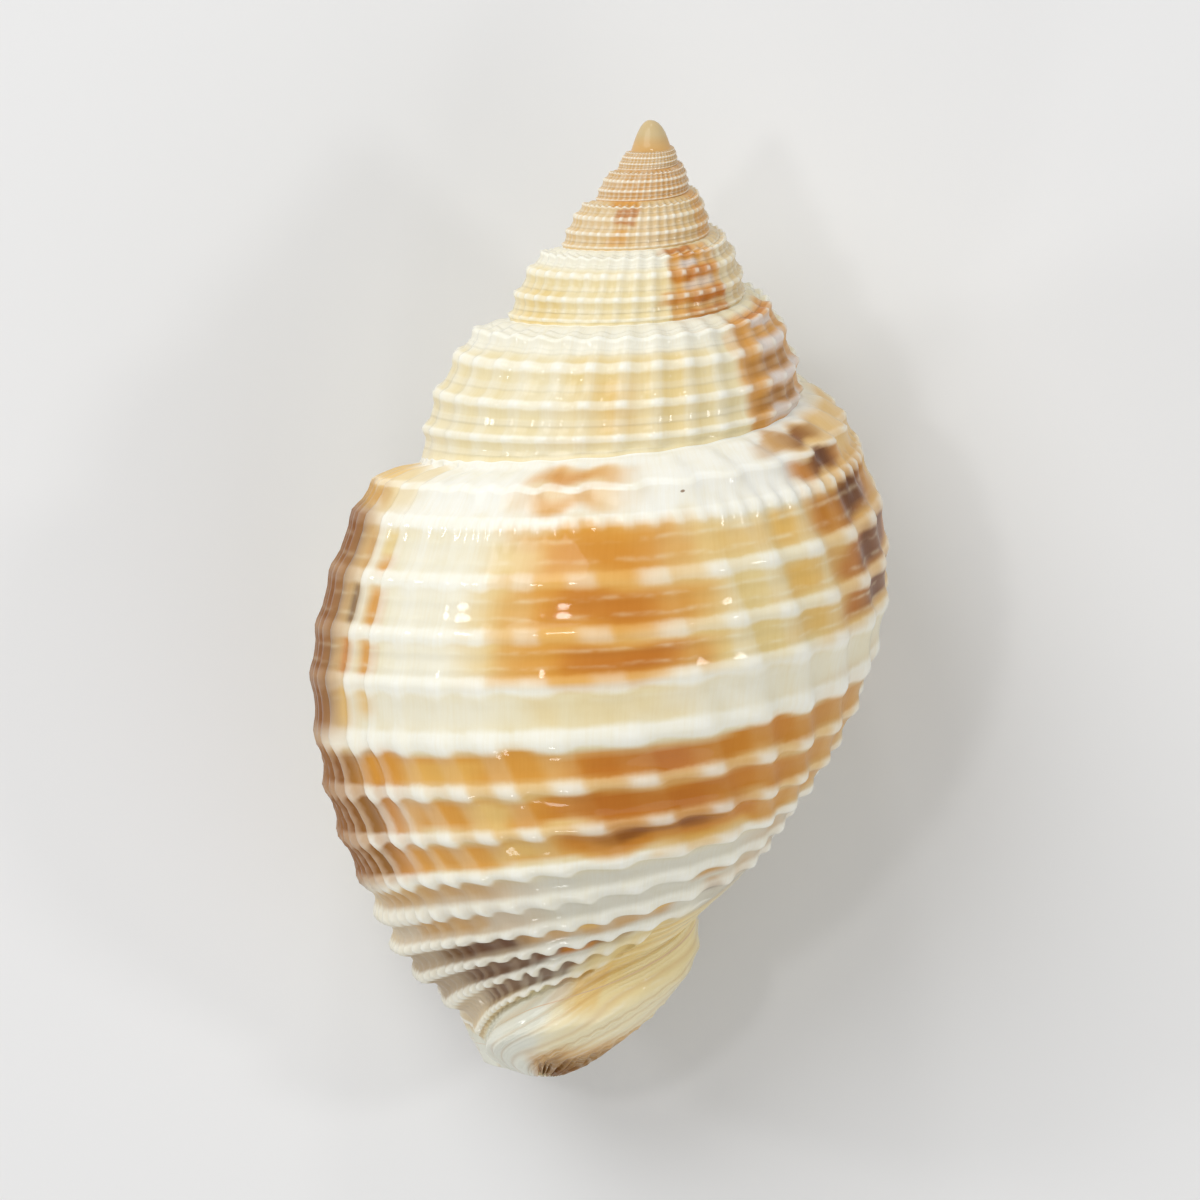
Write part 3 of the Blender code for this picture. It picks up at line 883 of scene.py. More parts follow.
        previous = ring_values(rim, 0.0, 0)
        for step, t in enumerate(self.mouth_turns, 1):
            outer, inner = self.mouth_ring(t)
            both = np.vstack([outer, inner])
            numbers = surface.add_verts(self.coil.place(t, both[:, 0], both[:, 1]))
            values = ring_values(numbers, t, step)
            surface.add_faces(np.stack([values[:-1], values[1:], previous[1:], previous[:-1]], axis=1))
            last = np.stack([values[-1], values[0], previous[0], previous[-1]])
            last[1:3, U] = 1.0
            surface.add_faces(last[None])
            previous = values
        left = previous[:len(outer)]
        right = previous[len(outer):][::-1]
        self.close_between(surface, left, right, outer[:, 1], inner[::-1, 1])

    def close_between(self, surface: SurfaceMesh, left: np.ndarray, right: np.ndarray,
                      depth_left: np.ndarray, depth_right: np.ndarray) -> None:
        """Close the gap between two edges with triangles, going down both together.

        Args:
            surface: The mesh being gathered.
            left: Corner values down one edge.
            right: Corner values down the other edge.
            depth_left: Depths down the first edge.
            depth_right: Depths down the other edge.
        """
        i = 0
        k = 0
        closing = []
        while i < len(left) - 1 or k < len(right) - 1:
            right_done = k == len(right) - 1
            left_next = i < len(left) - 1 and (right_done or depth_left[i + 1] < depth_right[k + 1])
            if left_next:
                closing.append([right[k], left[i + 1], left[i]])
                i += 1
            else:
                closing.append([right[k], right[k + 1], left[i]])
                k += 1
        surface.add_faces(np.array(closing))

    def build(self) -> bpy.types.Object:
        """Make the shell's fine mesh, laid down as the shell lies.

        Returns:
            The shell object, one closed surface.
        """
        surface = SurfaceMesh()
        ids, edge = self.add_whorl(surface, 0, None, None)
        apex_rim = np.concatenate([ids[::-1, 0], ids[0, 1:self.seam_row]])
        for whorl in range(1, len(self.whorl_columns)):
            ids, edge = self.add_whorl(surface, whorl, ids, edge)
        self.add_cap(surface, apex_rim, self.apex_rings, self.coil.apex_lift, Region.NUCLEUS,
                     (self.first_turn, 1.0), self.uv_apex)
        self.add_cap(surface, ids[:, -1], self.neck_rings, -self.coil.length - self.neck_cap, Region.NECK,
                     (0.0, self.coil.count + self.neck_cords), self.uv_neck)
        self.add_mouth(surface, ids)
        surface.verts = [self.lay_down(points) for points in surface.verts]
        shell = bpy.data.objects.new("shell_fine", surface.build("shell_fine"))
        bpy.context.scene.collection.objects.link(shell)
        return shell


def srgb(red: int, green: int, blue: int) -> Colour:
    """Linear colour from the usual 0 to 255 values."""
    return tuple(((c / 255 + 0.055) / 1.055) ** 2.4 for c in (red, green, blue))


class Signal:
    """A shader socket that takes part in Python expressions."""

    def __init__(self, maker: "NodeMaker", socket: bpy.types.NodeSocket) -> None:
        """Wrap a socket of the maker's material."""
        self.maker = maker
        self.socket = socket

    def math(self, operation: str, *others: "Signal | float") -> "Signal":
        """Add a Math node that starts with this value."""
        return self.maker.node("ShaderNodeMath", {"operation": operation}, [self, *others])

    def __add__(self, other: "Signal | float") -> "Signal":
        """Sum."""
        return self.math("ADD", other)

    __radd__ = __add__

    def __sub__(self, other: "Signal | float") -> "Signal":
        """Difference."""
        return self.math("SUBTRACT", other)

    def __rsub__(self, other: float) -> "Signal":
        """Difference from a number."""
        return self.maker.node("ShaderNodeMath", {"operation": "SUBTRACT"}, [other, self])

    def __mul__(self, other: "Signal | float") -> "Signal":
        """Product."""
        return self.math("MULTIPLY", other)

    __rmul__ = __mul__

    def __truediv__(self, other: "Signal | float") -> "Signal":
        """Quotient."""
        return self.math("DIVIDE", other)

    def __pow__(self, other: float) -> "Signal":
        """Power."""
        return self.math("POWER", other)

    def step(self, start: float, end: float) -> "Signal":
        """Smooth step from 0 at start to 1 at end."""
        return self.maker.node("ShaderNodeMapRange", {"interpolation_type": "SMOOTHSTEP"},
                               {"Value": self, "From Min": start, "From Max": end})


class NodeMaker:
    """Adds nodes to one material."""

    def __init__(self, name: str) -> None:
        """Start a material with its Principled shader."""
        self.material = bpy.data.materials.new(name)
        self.material.use_nodes = True
        self.tree = self.material.node_tree
        self.shader = self.tree.nodes["Principled BSDF"]

    def plug(self, socket: bpy.types.NodeSocket, value: "Signal | float | tuple") -> None:
        """Link a signal to a socket, or set its number or colour."""
        if isinstance(value, Signal):
            self.tree.links.new(value.socket, socket)
        elif isinstance(value, tuple) and len(value) == 3 and socket.type == "RGBA":
            socket.default_value = (*value, 1.0)
        else:
            socket.default_value = value

    def node(self, kind: str, settings: dict, inputs: dict | list, output: int | str = 0) -> Signal:
        """Add a node.

        Args:
            kind: The node's type.
            settings: Its properties, set before its inputs.
            inputs: Values or signals by socket name or number, or in order.
            output: Which output is wanted.

        Returns:
            The output as a signal.
        """
        node = self.tree.nodes.new(kind)
        for key, value in settings.items():
            setattr(node, key, value)
        pairs = inputs.items() if isinstance(inputs, dict) else enumerate(inputs)
        for key, value in pairs:
            self.plug(node.inputs[key], value)
        return Signal(self, node.outputs[output])

    def mix(self, factor: "Signal | float", low: "Signal | Colour", high: "Signal | Colour",
            blend: str = "MIX") -> Signal:
        """Blend two colours, through the Mix node's factor and its two colour sockets."""
        settings = {"data_type": "RGBA", "blend_type": blend}
        return self.node("ShaderNodeMix", settings, {0: factor, 6: low, 7: high}, 2)

    def stain(self, factor: "Signal | float", colour: Signal, dye: Colour) -> Signal:
        """Multiply a colour by a dye as far as the factor says."""
        return self.mix(factor, colour, dye, "MULTIPLY")

    def vector(self, x: Signal, y: Signal) -> Signal:
        """A place worked out from two signals."""
        return self.node("ShaderNodeCombineXYZ", {}, [x, y, 0.0])

    def attribute(self, name: str) -> tuple[Signal, Signal, Signal]:
        """The three values of a corner attribute."""
        vector = self.node("ShaderNodeAttribute", {"attribute_name": name}, {}, "Vector")
        first = self.node("ShaderNodeSeparateXYZ", {}, [vector])
        return tuple(Signal(self, socket) for socket in first.socket.node.outputs)

    def paint(self, name: str) -> Signal:
        """The colour of a corner attribute."""
        return self.node("ShaderNodeAttribute", {"attribute_name": name}, {}, "Color")

    def noise(self, place: Signal, scale: float, detail: float = 2.0, roughness: float = 0.5) -> Signal:
        """Smooth noise from 0 to 1 at a place."""
        return self.node("ShaderNodeTexNoise", {}, {
            "Vector": place, "Scale": scale, "Detail": detail, "Roughness": roughness})


@dataclass(frozen=True)
class Patch:
    """A soft-edged patch of colour on the shell.

    Attributes:
        turns: Where it starts and ends along the whorl.
        cords: Where it starts and ends down the whorl.
        colour: Its colour.
        strength: How far it covers what is under it.
        crests: How far it covers the cords and beads too.
        fringe: Width of its soft edge along the whorl, in turns.
        feather: Width of its soft edge down the whorl, in cords.
    """

    turns: Span
    cords: Span
    colour: Colour
    strength: float
    crests: float
    fringe: float
    feather: float

    def cover(self, turn: np.ndarray, cord: np.ndarray) -> np.ndarray:
        """How far the patch covers each place, from 0 to 1."""
        shown = 1.0
        for x, (start, end), soft in ((turn, self.turns, self.fringe), (cord, self.cords, self.feather)):
            shown = shown * ramp(x, start - soft, start + soft) * ramp(x, end + soft, end - soft)
        return shown


MILK = srgb(250, 250, 243)
IVORY = srgb(247, 245, 231)
CREAM = srgb(241, 231, 196)
BUTTER = srgb(238, 219, 164)
STRAW = srgb(236, 208, 138)
HONEY = srgb(235, 190, 104)
ORANGE = srgb(223, 158, 66)
AMBER = srgb(208, 134, 48)
RUST = srgb(188, 108, 38)
UMBER = srgb(132, 76, 32)
PLUM = srgb(108, 68, 42)
DUSK = srgb(124, 88, 46)
CLAY = srgb(164, 116, 70)
TAN = srgb(210, 162, 94)
LAVENDER = srgb(230, 222, 218)
SAND = srgb(222, 186, 128)
ROSE = srgb(208, 166, 138)
# grey of painted shade, used in the grooves and on the base's lower right
SHADE_GREY = srgb(198, 190, 170)
SILVER = srgb(220, 220, 212)
HORN = srgb(206, 184, 140)
PEARL = srgb(228, 229, 217)
ORANGE_COLUMN = (-0.2145, -0.1985)
BROWN_COLUMN = (-0.192, -0.175)


def left_edge() -> list[Patch]:
    """Brown ends of the grooves on the shell's left side, each of its own length."""
    ends = (((1.4, 1.98), -0.095), ((2.15, 2.98), -0.075), ((3.15, 4.05), -0.06), ((4.2, 5.0), -0.085),
            ((5.15, 5.9), -0.105), ((6.2, 6.92), -0.07), ((7.15, 7.98), -0.055), ((8.2, 9.1), -0.09))
    return [Patch((-0.15, end), groove, UMBER, 0.95, 0.75, 0.006, 0.1) for groove, end in ends]


def body_grounds() -> tuple[Patch, ...]:
    """The body whorl's pale grounds and the columns of its left side, under the ribs."""
    return (
        Patch((-0.62, -0.05), (-1.0, 2.15), MILK, 0.92, 0.9, 0.04, 0.2),
        Patch((-0.53, -0.40), (2.3, 5.05), BUTTER, 0.9, 0.5, 0.03, 0.15),
        Patch((-0.475, -0.405), (3.25, 4.95), STRAW, 0.6, 0.1, 0.01, 0.15),
        Patch((-0.56, -0.41), (5.1, 5.9), IVORY, 0.5, 0.1, 0.03, 0.3),
        Patch((-0.42, -0.345), (5.1, 5.85), STRAW, 0.35, 0.15, 0.02, 0.3),
        Patch((-0.335, -0.31), (5.2, 5.85), STRAW, 0.45, 0.3, 0.01, 0.3),
        Patch((-0.30, -0.20), (5.1, 5.9), IVORY, 0.6, 0.2, 0.02, 0.3),
        Patch((-0.60, -0.14), (9.6, 15.0), SILVER, 0.75, 0.3, 0.03, 0.3),
        Patch((-0.305, -0.215), (2.3, 5.1), IVORY, 0.7, 0.5, 0.02, 0.2),
        Patch((-0.192, -0.05), (2.0, 5.9), SAND, 0.85, 0.7, 0.01, 0.25),
        Patch((-0.17, -0.08), (2.0, 5.9), CLAY, 0.95, 0.9, 0.01, 0.25),
        Patch(ORANGE_COLUMN, (2.2, 2.6), STRAW, 0.9, 0.3, 0.004, 0.1),
        Patch(ORANGE_COLUMN, (2.65, 2.98), ORANGE, 0.9, 0.3, 0.004, 0.1),
        Patch(ORANGE_COLUMN, (3.22, 4.02), ORANGE, 0.95, 0.3, 0.004, 0.1),
        Patch(ORANGE_COLUMN, (4.25, 4.98), ORANGE, 0.95, 0.3, 0.004, 0.1),
        Patch(ORANGE_COLUMN, (5.15, 5.6), HONEY, 0.85, 0.4, 0.005, 0.15),
        Patch(BROWN_COLUMN, (2.3, 2.95), TAN, 0.85, 0.35, 0.004, 0.1),
        Patch(BROWN_COLUMN, (3.2, 4.05), DUSK, 0.9, 0.35, 0.004, 0.1),
        Patch(BROWN_COLUMN, (4.25, 5.0), AMBER, 0.95, 0.35, 0.004, 0.1),
        Patch(BROWN_COLUMN, (5.1, 5.7), HONEY, 0.85, 0.5, 0.005, 0.15),
        Patch((-0.167, -0.1545), (2.2, 5.6), DUSK, 0.95, 0.6, 0.003, 0.2),
        Patch((-0.15, -0.065), (1.6, 9.3), CLAY, 0.85, 0.9, 0.012, 0.4),
        Patch((-0.2, -0.065), (6.1, 9.3), TAN, 0.55, 0.8, 0.02, 0.2),
        *left_edge(),
        Patch((-0.235, -0.055), (6.2, 9.2), AMBER, 0.85, 0.35, 0.02, 0.15),
        Patch((-0.208, -0.10), (6.2, 9.3), DUSK, 0.7, 0.3, 0.014, 0.15),
        Patch((-0.175, -0.09), (6.3, 9.5), UMBER, 0.6, 0.5, 0.014, 0.2),
        Patch((-0.13, -0.04), (2.4, 9.0), HONEY, 0.2, 0.3, 0.04, 0.4),
        Patch((-0.31, -0.05), (9.4, 15.9), TAN, 0.4, 0.25, 0.03, 0.4),
        Patch((-0.32, -0.05), (10.8, 16.5), SILVER, 0.1, 0.6, 0.03, 0.4),
        Patch((-0.30, -0.05), (11.8, 13.8), DUSK, 0.35, 0.15, 0.03, 0.4),
        # painted shade: grey over the grooves and cords of the base's lower right
        Patch((-0.60, -0.48), (12.0, 15.0), SHADE_GREY, 0.6, 0.6, 0.02, 0.4),
    )


def body_markings() -> tuple[Patch, ...]:
    """The body whorl's strong markings, over the ribs, from the suture down."""
    return (
        # streaks under the suture
        Patch((-0.372, -0.302), (0.45, 2.0), HONEY, 0.6, 0.5, 0.02, 0.2),
        Patch((-0.362, -0.304), (0.55, 1.12), ORANGE, 0.7, 0.6, 0.02, 0.2),
        Patch((-0.345, -0.316), (0.75, 1.15), AMBER, 0.5, 0.5, 0.01, 0.15),
        Patch((-0.348, -0.312), (1.55, 1.95), ORANGE, 0.65, 0.5, 0.016, 0.15),
        Patch((-0.205, -0.10), (0.55, 1.95), STRAW, 0.7, 0.6, 0.02, 0.25),
        Patch((-0.172, -0.09), (1.35, 1.9), TAN, 0.9, 0.7, 0.012, 0.15),
        Patch((-0.16, -0.09), (0.5, 1.3), HONEY, 0.7, 0.6, 0.02, 0.2),
        # middle of the back
        Patch((-0.392, -0.304), (2.25, 5.1), ORANGE, 0.9, 1.0, 0.024, 0.12),
        Patch((-0.425, -0.29), (2.2, 5.1), HONEY, 0.5, 1.0, 0.024, 0.12),
        Patch((-0.404, -0.316), (2.3, 2.98), ORANGE, 0.9, 0.5, 0.018, 0.1),
        Patch((-0.310, -0.276), (2.5, 4.9), STRAW, 0.6, 0.3, 0.012, 0.1),
        Patch((-0.418, -0.304), (3.25, 4.0), ORANGE, 0.8, 0.4, 0.02, 0.1),
        Patch((-0.422, -0.306), (4.3, 5.0), ORANGE, 0.8, 0.4, 0.02, 0.1),
        Patch((-0.395, -0.325), (2.5, 3.0), AMBER, 0.5, 0.5, 0.024, 0.2),
        Patch((-0.398, -0.325), (3.25, 3.95), AMBER, 0.7, 0.5, 0.014, 0.12),
        Patch((-0.385, -0.338), (3.3, 3.8), RUST, 0.45, 0.5, 0.014, 0.12),
        Patch((-0.412, -0.335), (4.35, 4.92), AMBER, 0.7, 0.5, 0.016, 0.12),
        Patch((-0.40, -0.350), (4.4, 4.85), RUST, 0.65, 0.5, 0.016, 0.12),
        Patch((-0.50, -0.41), (2.4, 2.9), HONEY, 0.6, 0.1, 0.02, 0.12),
        Patch((-0.495, -0.468), (2.35, 2.9), HONEY, 0.85, 0.2, 0.008, 0.12),
        Patch((-0.503, -0.474), (3.2, 3.95), HONEY, 0.9, 0.3, 0.007, 0.15),
        Patch((-0.51, -0.48), (4.2, 4.8), HONEY, 0.75, 0.25, 0.01, 0.12),
        # flame on the right
        Patch((-0.66, -0.508), (0.3, 5.1), HONEY, 0.85, 0.8, 0.02, 0.2),
        Patch((-0.60, -0.535), (1.8, 4.1), ORANGE, 0.35, 0.7, 0.02, 0.2),
        Patch((-0.552, -0.480), (0.35, 1.0), TAN, 0.95, 0.8, 0.016, 0.12),
        Patch((-0.545, -0.505), (0.4, 0.9), UMBER, 0.85, 0.8, 0.02, 0.12),
        Patch((-0.565, -0.495), (1.35, 1.85), AMBER, 0.9, 0.6, 0.016, 0.12),
        Patch((-0.552, -0.518), (1.3, 1.85), UMBER, 0.95, 0.7, 0.014, 0.1),
        Patch((-0.548, -0.526), (1.3, 1.8), PLUM, 0.8, 0.7, 0.01, 0.1),
        Patch((-0.59, -0.508), (2.2, 2.85), AMBER, 0.95, 0.4, 0.014, 0.12),
        Patch((-0.582, -0.525), (2.2, 2.8), UMBER, 0.9, 0.4, 0.014, 0.1),
        Patch((-0.572, -0.538), (2.2, 2.75), PLUM, 0.85, 0.4, 0.012, 0.1),
        Patch((-0.62, -0.525), (3.1, 3.85), RUST, 0.9, 0.35, 0.016, 0.12),
        Patch((-0.60, -0.546), (3.12, 3.8), PLUM, 0.85, 0.4, 0.012, 0.1),
        Patch((-0.62, -0.53), (4.1, 4.8), RUST, 0.85, 0.35, 0.016, 0.12),
        Patch((-0.60, -0.555), (4.15, 4.75), PLUM, 0.85, 0.4, 0.012, 0.1),
        # bands below the middle, fading on the hidden side
        Patch((-0.93, -0.56), (6.28, 6.88), HONEY, 0.8, 0.2, 0.04, 0.08),
        Patch((-0.91, -0.54), (7.25, 7.92), HONEY, 0.8, 0.2, 0.04, 0.1),
        Patch((-0.90, -0.53), (8.35, 9.05), HONEY, 0.7, 0.2, 0.04, 0.1),
        Patch((-0.76, -0.70), (2.4, 5.0), HONEY, 0.7, 0.2, 0.012, 0.1),
        Patch((-0.86, -0.83), (2.4, 5.0), STRAW, 0.8, 0.2, 0.012, 0.1),
        Patch((-0.58, -0.26), (6.25, 9.1), HONEY, 0.75, 1.0, 0.04, 0.1),
        Patch((-0.47, -0.365), (6.9, 8.9), ORANGE, 0.5, 0.8, 0.03, 0.2),
        Patch((-0.60, -0.19), (6.28, 6.88), ORANGE, 0.95, 0.3, 0.02, 0.08),
        Patch((-0.545, -0.345), (6.3, 6.85), AMBER, 0.8, 0.35, 0.03, 0.1),
        Patch((-0.43, -0.355), (6.3, 6.85), RUST, 0.7, 0.4, 0.025, 0.1),
        Patch((-0.285, -0.235), (6.4, 6.85), HONEY, 0.6, 0.3, 0.01, 0.1),
        Patch((-0.58, -0.235), (7.25, 7.92), ORANGE, 0.95, 0.45, 0.015, 0.1),
        Patch((-0.53, -0.320), (7.28, 7.9), AMBER, 0.85, 0.45, 0.02, 0.1),
        Patch((-0.45, -0.345), (7.3, 7.9), RUST, 0.85, 0.5, 0.02, 0.1),
        Patch((-0.305, -0.28), (7.3, 7.95), STRAW, 0.7, 0.3, 0.008, 0.1),
        Patch((-0.49, -0.355), (6.9, 8.9), AMBER, 0.3, 0.5, 0.03, 0.3),
        Patch((-0.475, -0.365), (7.9, 8.4), RUST, 0.4, 0.9, 0.02, 0.15),
        Patch((-0.56, -0.22), (8.35, 9.05), ORANGE, 0.9, 0.4, 0.02, 0.1),
        Patch((-0.345, -0.285), (8.4, 9.0), STRAW, 0.6, 0.3, 0.015, 0.1),
        Patch((-0.49, -0.345), (8.3, 8.9), AMBER, 0.85, 0.6, 0.02, 0.1),
        Patch((-0.455, -0.365), (8.25, 8.65), UMBER, 0.8, 0.5, 0.025, 0.12),
        Patch((-0.475, -0.405), (8.9, 9.45), HONEY, 0.7, 0.85, 0.012, 0.15),
        # base
        Patch((-0.60, -0.50), (5.9, 12.0), TAN, 0.5, 0.35, 0.03, 0.3),
        Patch((-0.28, -0.16), (9.5, 10.05), TAN, 0.75, 0.2, 0.02, 0.15),
        Patch((-0.262, -0.19), (10.6, 11.15), TAN, 0.8, 0.2, 0.012, 0.12),
        Patch((-0.49, -0.448), (10.5, 11.0), TAN, 0.95, 0.3, 0.008, 0.1),
        Patch((-0.52, -0.462), (11.2, 11.8), TAN, 0.9, 0.3, 0.01, 0.12),
        Patch((-0.50, -0.468), (11.4, 12.0), DUSK, 0.7, 0.5, 0.01, 0.15),
        Patch((-0.44, -0.285), (11.75, 12.35), TAN, 0.8, 0.2, 0.012, 0.12),
        Patch((-0.37, -0.345), (11.75, 12.1), HONEY, 0.8, 0.2, 0.008, 0.1),
        Patch((-0.435, -0.415), (11.75, 12.05), HONEY, 0.7, 0.2, 0.008, 0.1),
        Patch((-0.288, -0.2), (11.8, 12.35), DUSK, 0.9, 0.1, 0.014, 0.12),
        Patch((-0.29, -0.225), (11.75, 12.45), PLUM, 0.8, 0.15, 0.016, 0.1),
        Patch((-0.41, -0.31), (12.8, 13.45), UMBER, 0.95, 0.1, 0.01, 0.12),
        Patch((-0.37, -0.34), (13.0, 13.5), AMBER, 0.8, 0.1, 0.008, 0.1),
        Patch((-0.325, -0.215), (12.85, 13.65), PLUM, 0.8, 0.15, 0.02, 0.12),
        Patch((-0.415, -0.35), (13.8, 14.7), UMBER, 0.85, 0.1, 0.012, 0.2),
        Patch((-0.36, -0.235), (14.0, 15.25), PLUM, 0.8, 0.15, 0.02, 0.15),
        Patch((-0.41, -0.355), (15.4, 17.2), ROSE, 0.85, 0.3, 0.014, 0.3),
        # fasciole and neck
        Patch((-0.62, -0.38), (13.2, 21.0), BUTTER, 0.9, 0.9, 0.03, 0.6),
        Patch((-0.475, -0.425), (12.8, 17.2), STRAW, 0.7, 0.7, 0.012, 0.5),
        Patch((-0.44, -0.395), (15.6, 18.2), HONEY, 0.5, 0.5, 0.01, 0.5),
        Patch((-0.38, -0.02), (16.0, 21.5), PEARL, 0.9, 0.9, 0.03, 0.3),
        Patch((-0.60, -0.36), (18.2, 20.2), CREAM, 0.7, 0.7, 0.02, 0.4),
        Patch((-0.66, -0.34), (19.6, 23.0), TAN, 0.85, 0.9, 0.03, 0.3),
        Patch((-0.62, -0.37), (20.0, 23.0), DUSK, 0.6, 0.8, 0.03, 0.25),
        Patch((-0.55, -0.43), (20.6, 23.0), UMBER, 0.5, 0.8, 0.02, 0.2),
    )


def spire_grounds() -> tuple[Patch, ...]:
    """The spire's grounds, under the ribs."""
    return (
        Patch((-1.48, -1.0), (-1.0, 1.9), IVORY, 0.9, 0.5, 0.02, 0.2),
        Patch((-2.41, -2.0), (-1.0, 2.1), IVORY, 0.9, 0.5, 0.02, 0.2),
        Patch((-2.0, -1.0), (1.9, 6.0), BUTTER, 0.45, 0.55, 0.05, 0.4),
        Patch((-1.435, -1.31), (1.85, 4.4), STRAW, 0.65, 0.4, 0.03, 0.25),
        Patch((-1.376, -1.34), (2.6, 4.2), HONEY, 0.55, 0.4, 0.014, 0.3),
        Patch((-3.0, -2.0), (1.9, 6.0), BUTTER, 0.65, 0.6, 0.05, 0.3),
        Patch((-2.445, -2.39), (2.3, 4.4), STRAW, 0.7, 0.4, 0.014, 0.2),
        Patch((-2.25, -2.14), (2.8, 4.6), STRAW, 0.6, 0.3, 0.02, 0.2),
        Patch((-2.75, -2.53), (-1.0, 6.0), SAND, 0.6, 0.5, 0.02, 0.3),
        Patch((-3.9, -2.98), (-1.0, 6.0), SAND, 0.85, 0.6, 0.06, 0.5),
        Patch((-6.0, -3.8), (-1.0, 6.0), TAN, 0.85, 0.5, 0.1, 0.5),
        Patch((-5.0, -4.25), (-1.0, 6.0), AMBER, 0.3, 0.2, 0.1, 0.5),
        Patch((-7.5, -5.75), (-1.0, 6.0), TAN, 0.9, 0.9, 0.08, 0.5),
        Patch((-7.5, -5.98), (1.6, 8.0), HORN, 0.95, 0.95, 0.01, 0.5),
    )


def spire_markings() -> tuple[Patch, ...]:
    """The spire's strong markings, over the ribs."""
    return (
        Patch((-1.62, -1.485), (0.35, 5.4), ORANGE, 0.92, 0.85, 0.007, 0.15),
        Patch((-1.60, -1.51), (0.55, 1.0), RUST, 0.6, 0.4, 0.012, 0.1),
        Patch((-1.59, -1.505), (2.6, 3.05), UMBER, 0.6, 0.3, 0.014, 0.1),
        Patch((-1.59, -1.505), (3.6, 4.1), UMBER, 0.6, 0.3, 0.014, 0.1),
        Patch((-1.59, -1.522), (1.1, 1.5), LAVENDER, 0.85, 1.0, 0.008, 0.1),
        Patch((-1.59, -1.518), (2.1, 2.55), LAVENDER, 0.9, 1.0, 0.008, 0.1),
        Patch((-1.60, -1.522), (3.12, 3.55), LAVENDER, 0.9, 1.0, 0.008, 0.1),
        Patch((-1.60, -1.52), (4.15, 4.65), LAVENDER, 0.85, 1.0, 0.008, 0.1),
        Patch((-2.52, -2.41), (0.1, 4.9), ORANGE, 0.75, 0.7, 0.008, 0.15),
        Patch((-2.478, -2.408), (0.1, 0.55), RUST, 0.7, 0.7, 0.008, 0.1),
        Patch((-2.490, -2.412), (0.7, 1.5), ORANGE, 0.95, 0.8, 0.006, 0.12),
        Patch((-2.475, -2.43), (0.8, 1.4), RUST, 0.7, 0.6, 0.008, 0.12),
        Patch((-2.478, -2.43), (1.6, 2.05), LAVENDER, 0.85, 1.0, 0.008, 0.1),
        Patch((-2.51, -2.41), (2.12, 2.65), AMBER, 0.95, 0.7, 0.007, 0.1),
        Patch((-2.50, -2.44), (2.15, 2.6), RUST, 0.7, 0.6, 0.01, 0.1),
        Patch((-2.50, -2.43), (2.7, 3.05), LAVENDER, 0.6, 0.8, 0.01, 0.1),
        Patch((-2.52, -2.40), (3.15, 3.75), AMBER, 0.85, 0.5, 0.01, 0.1),
        Patch((-2.52, -2.45), (3.2, 3.7), RUST, 0.7, 0.5, 0.01, 0.1),
        Patch((-2.52, -2.44), (4.05, 4.55), RUST, 0.6, 0.5, 0.01, 0.1),
        Patch((-3.35, -3.255), (-0.5, 0.9), ORANGE, 0.85, 0.6, 0.012, 0.15),
        Patch((-3.345, -3.285), (1.2, 2.7), RUST, 0.7, 0.5, 0.01, 0.12),
        Patch((-3.33, -3.29), (2.9, 4.2), ORANGE, 0.6, 0.4, 0.012, 0.2),
        Patch((-3.60, -3.52), (-1.0, 6.0), ORANGE, 0.7, 0.5, 0.02, 0.3),
    )


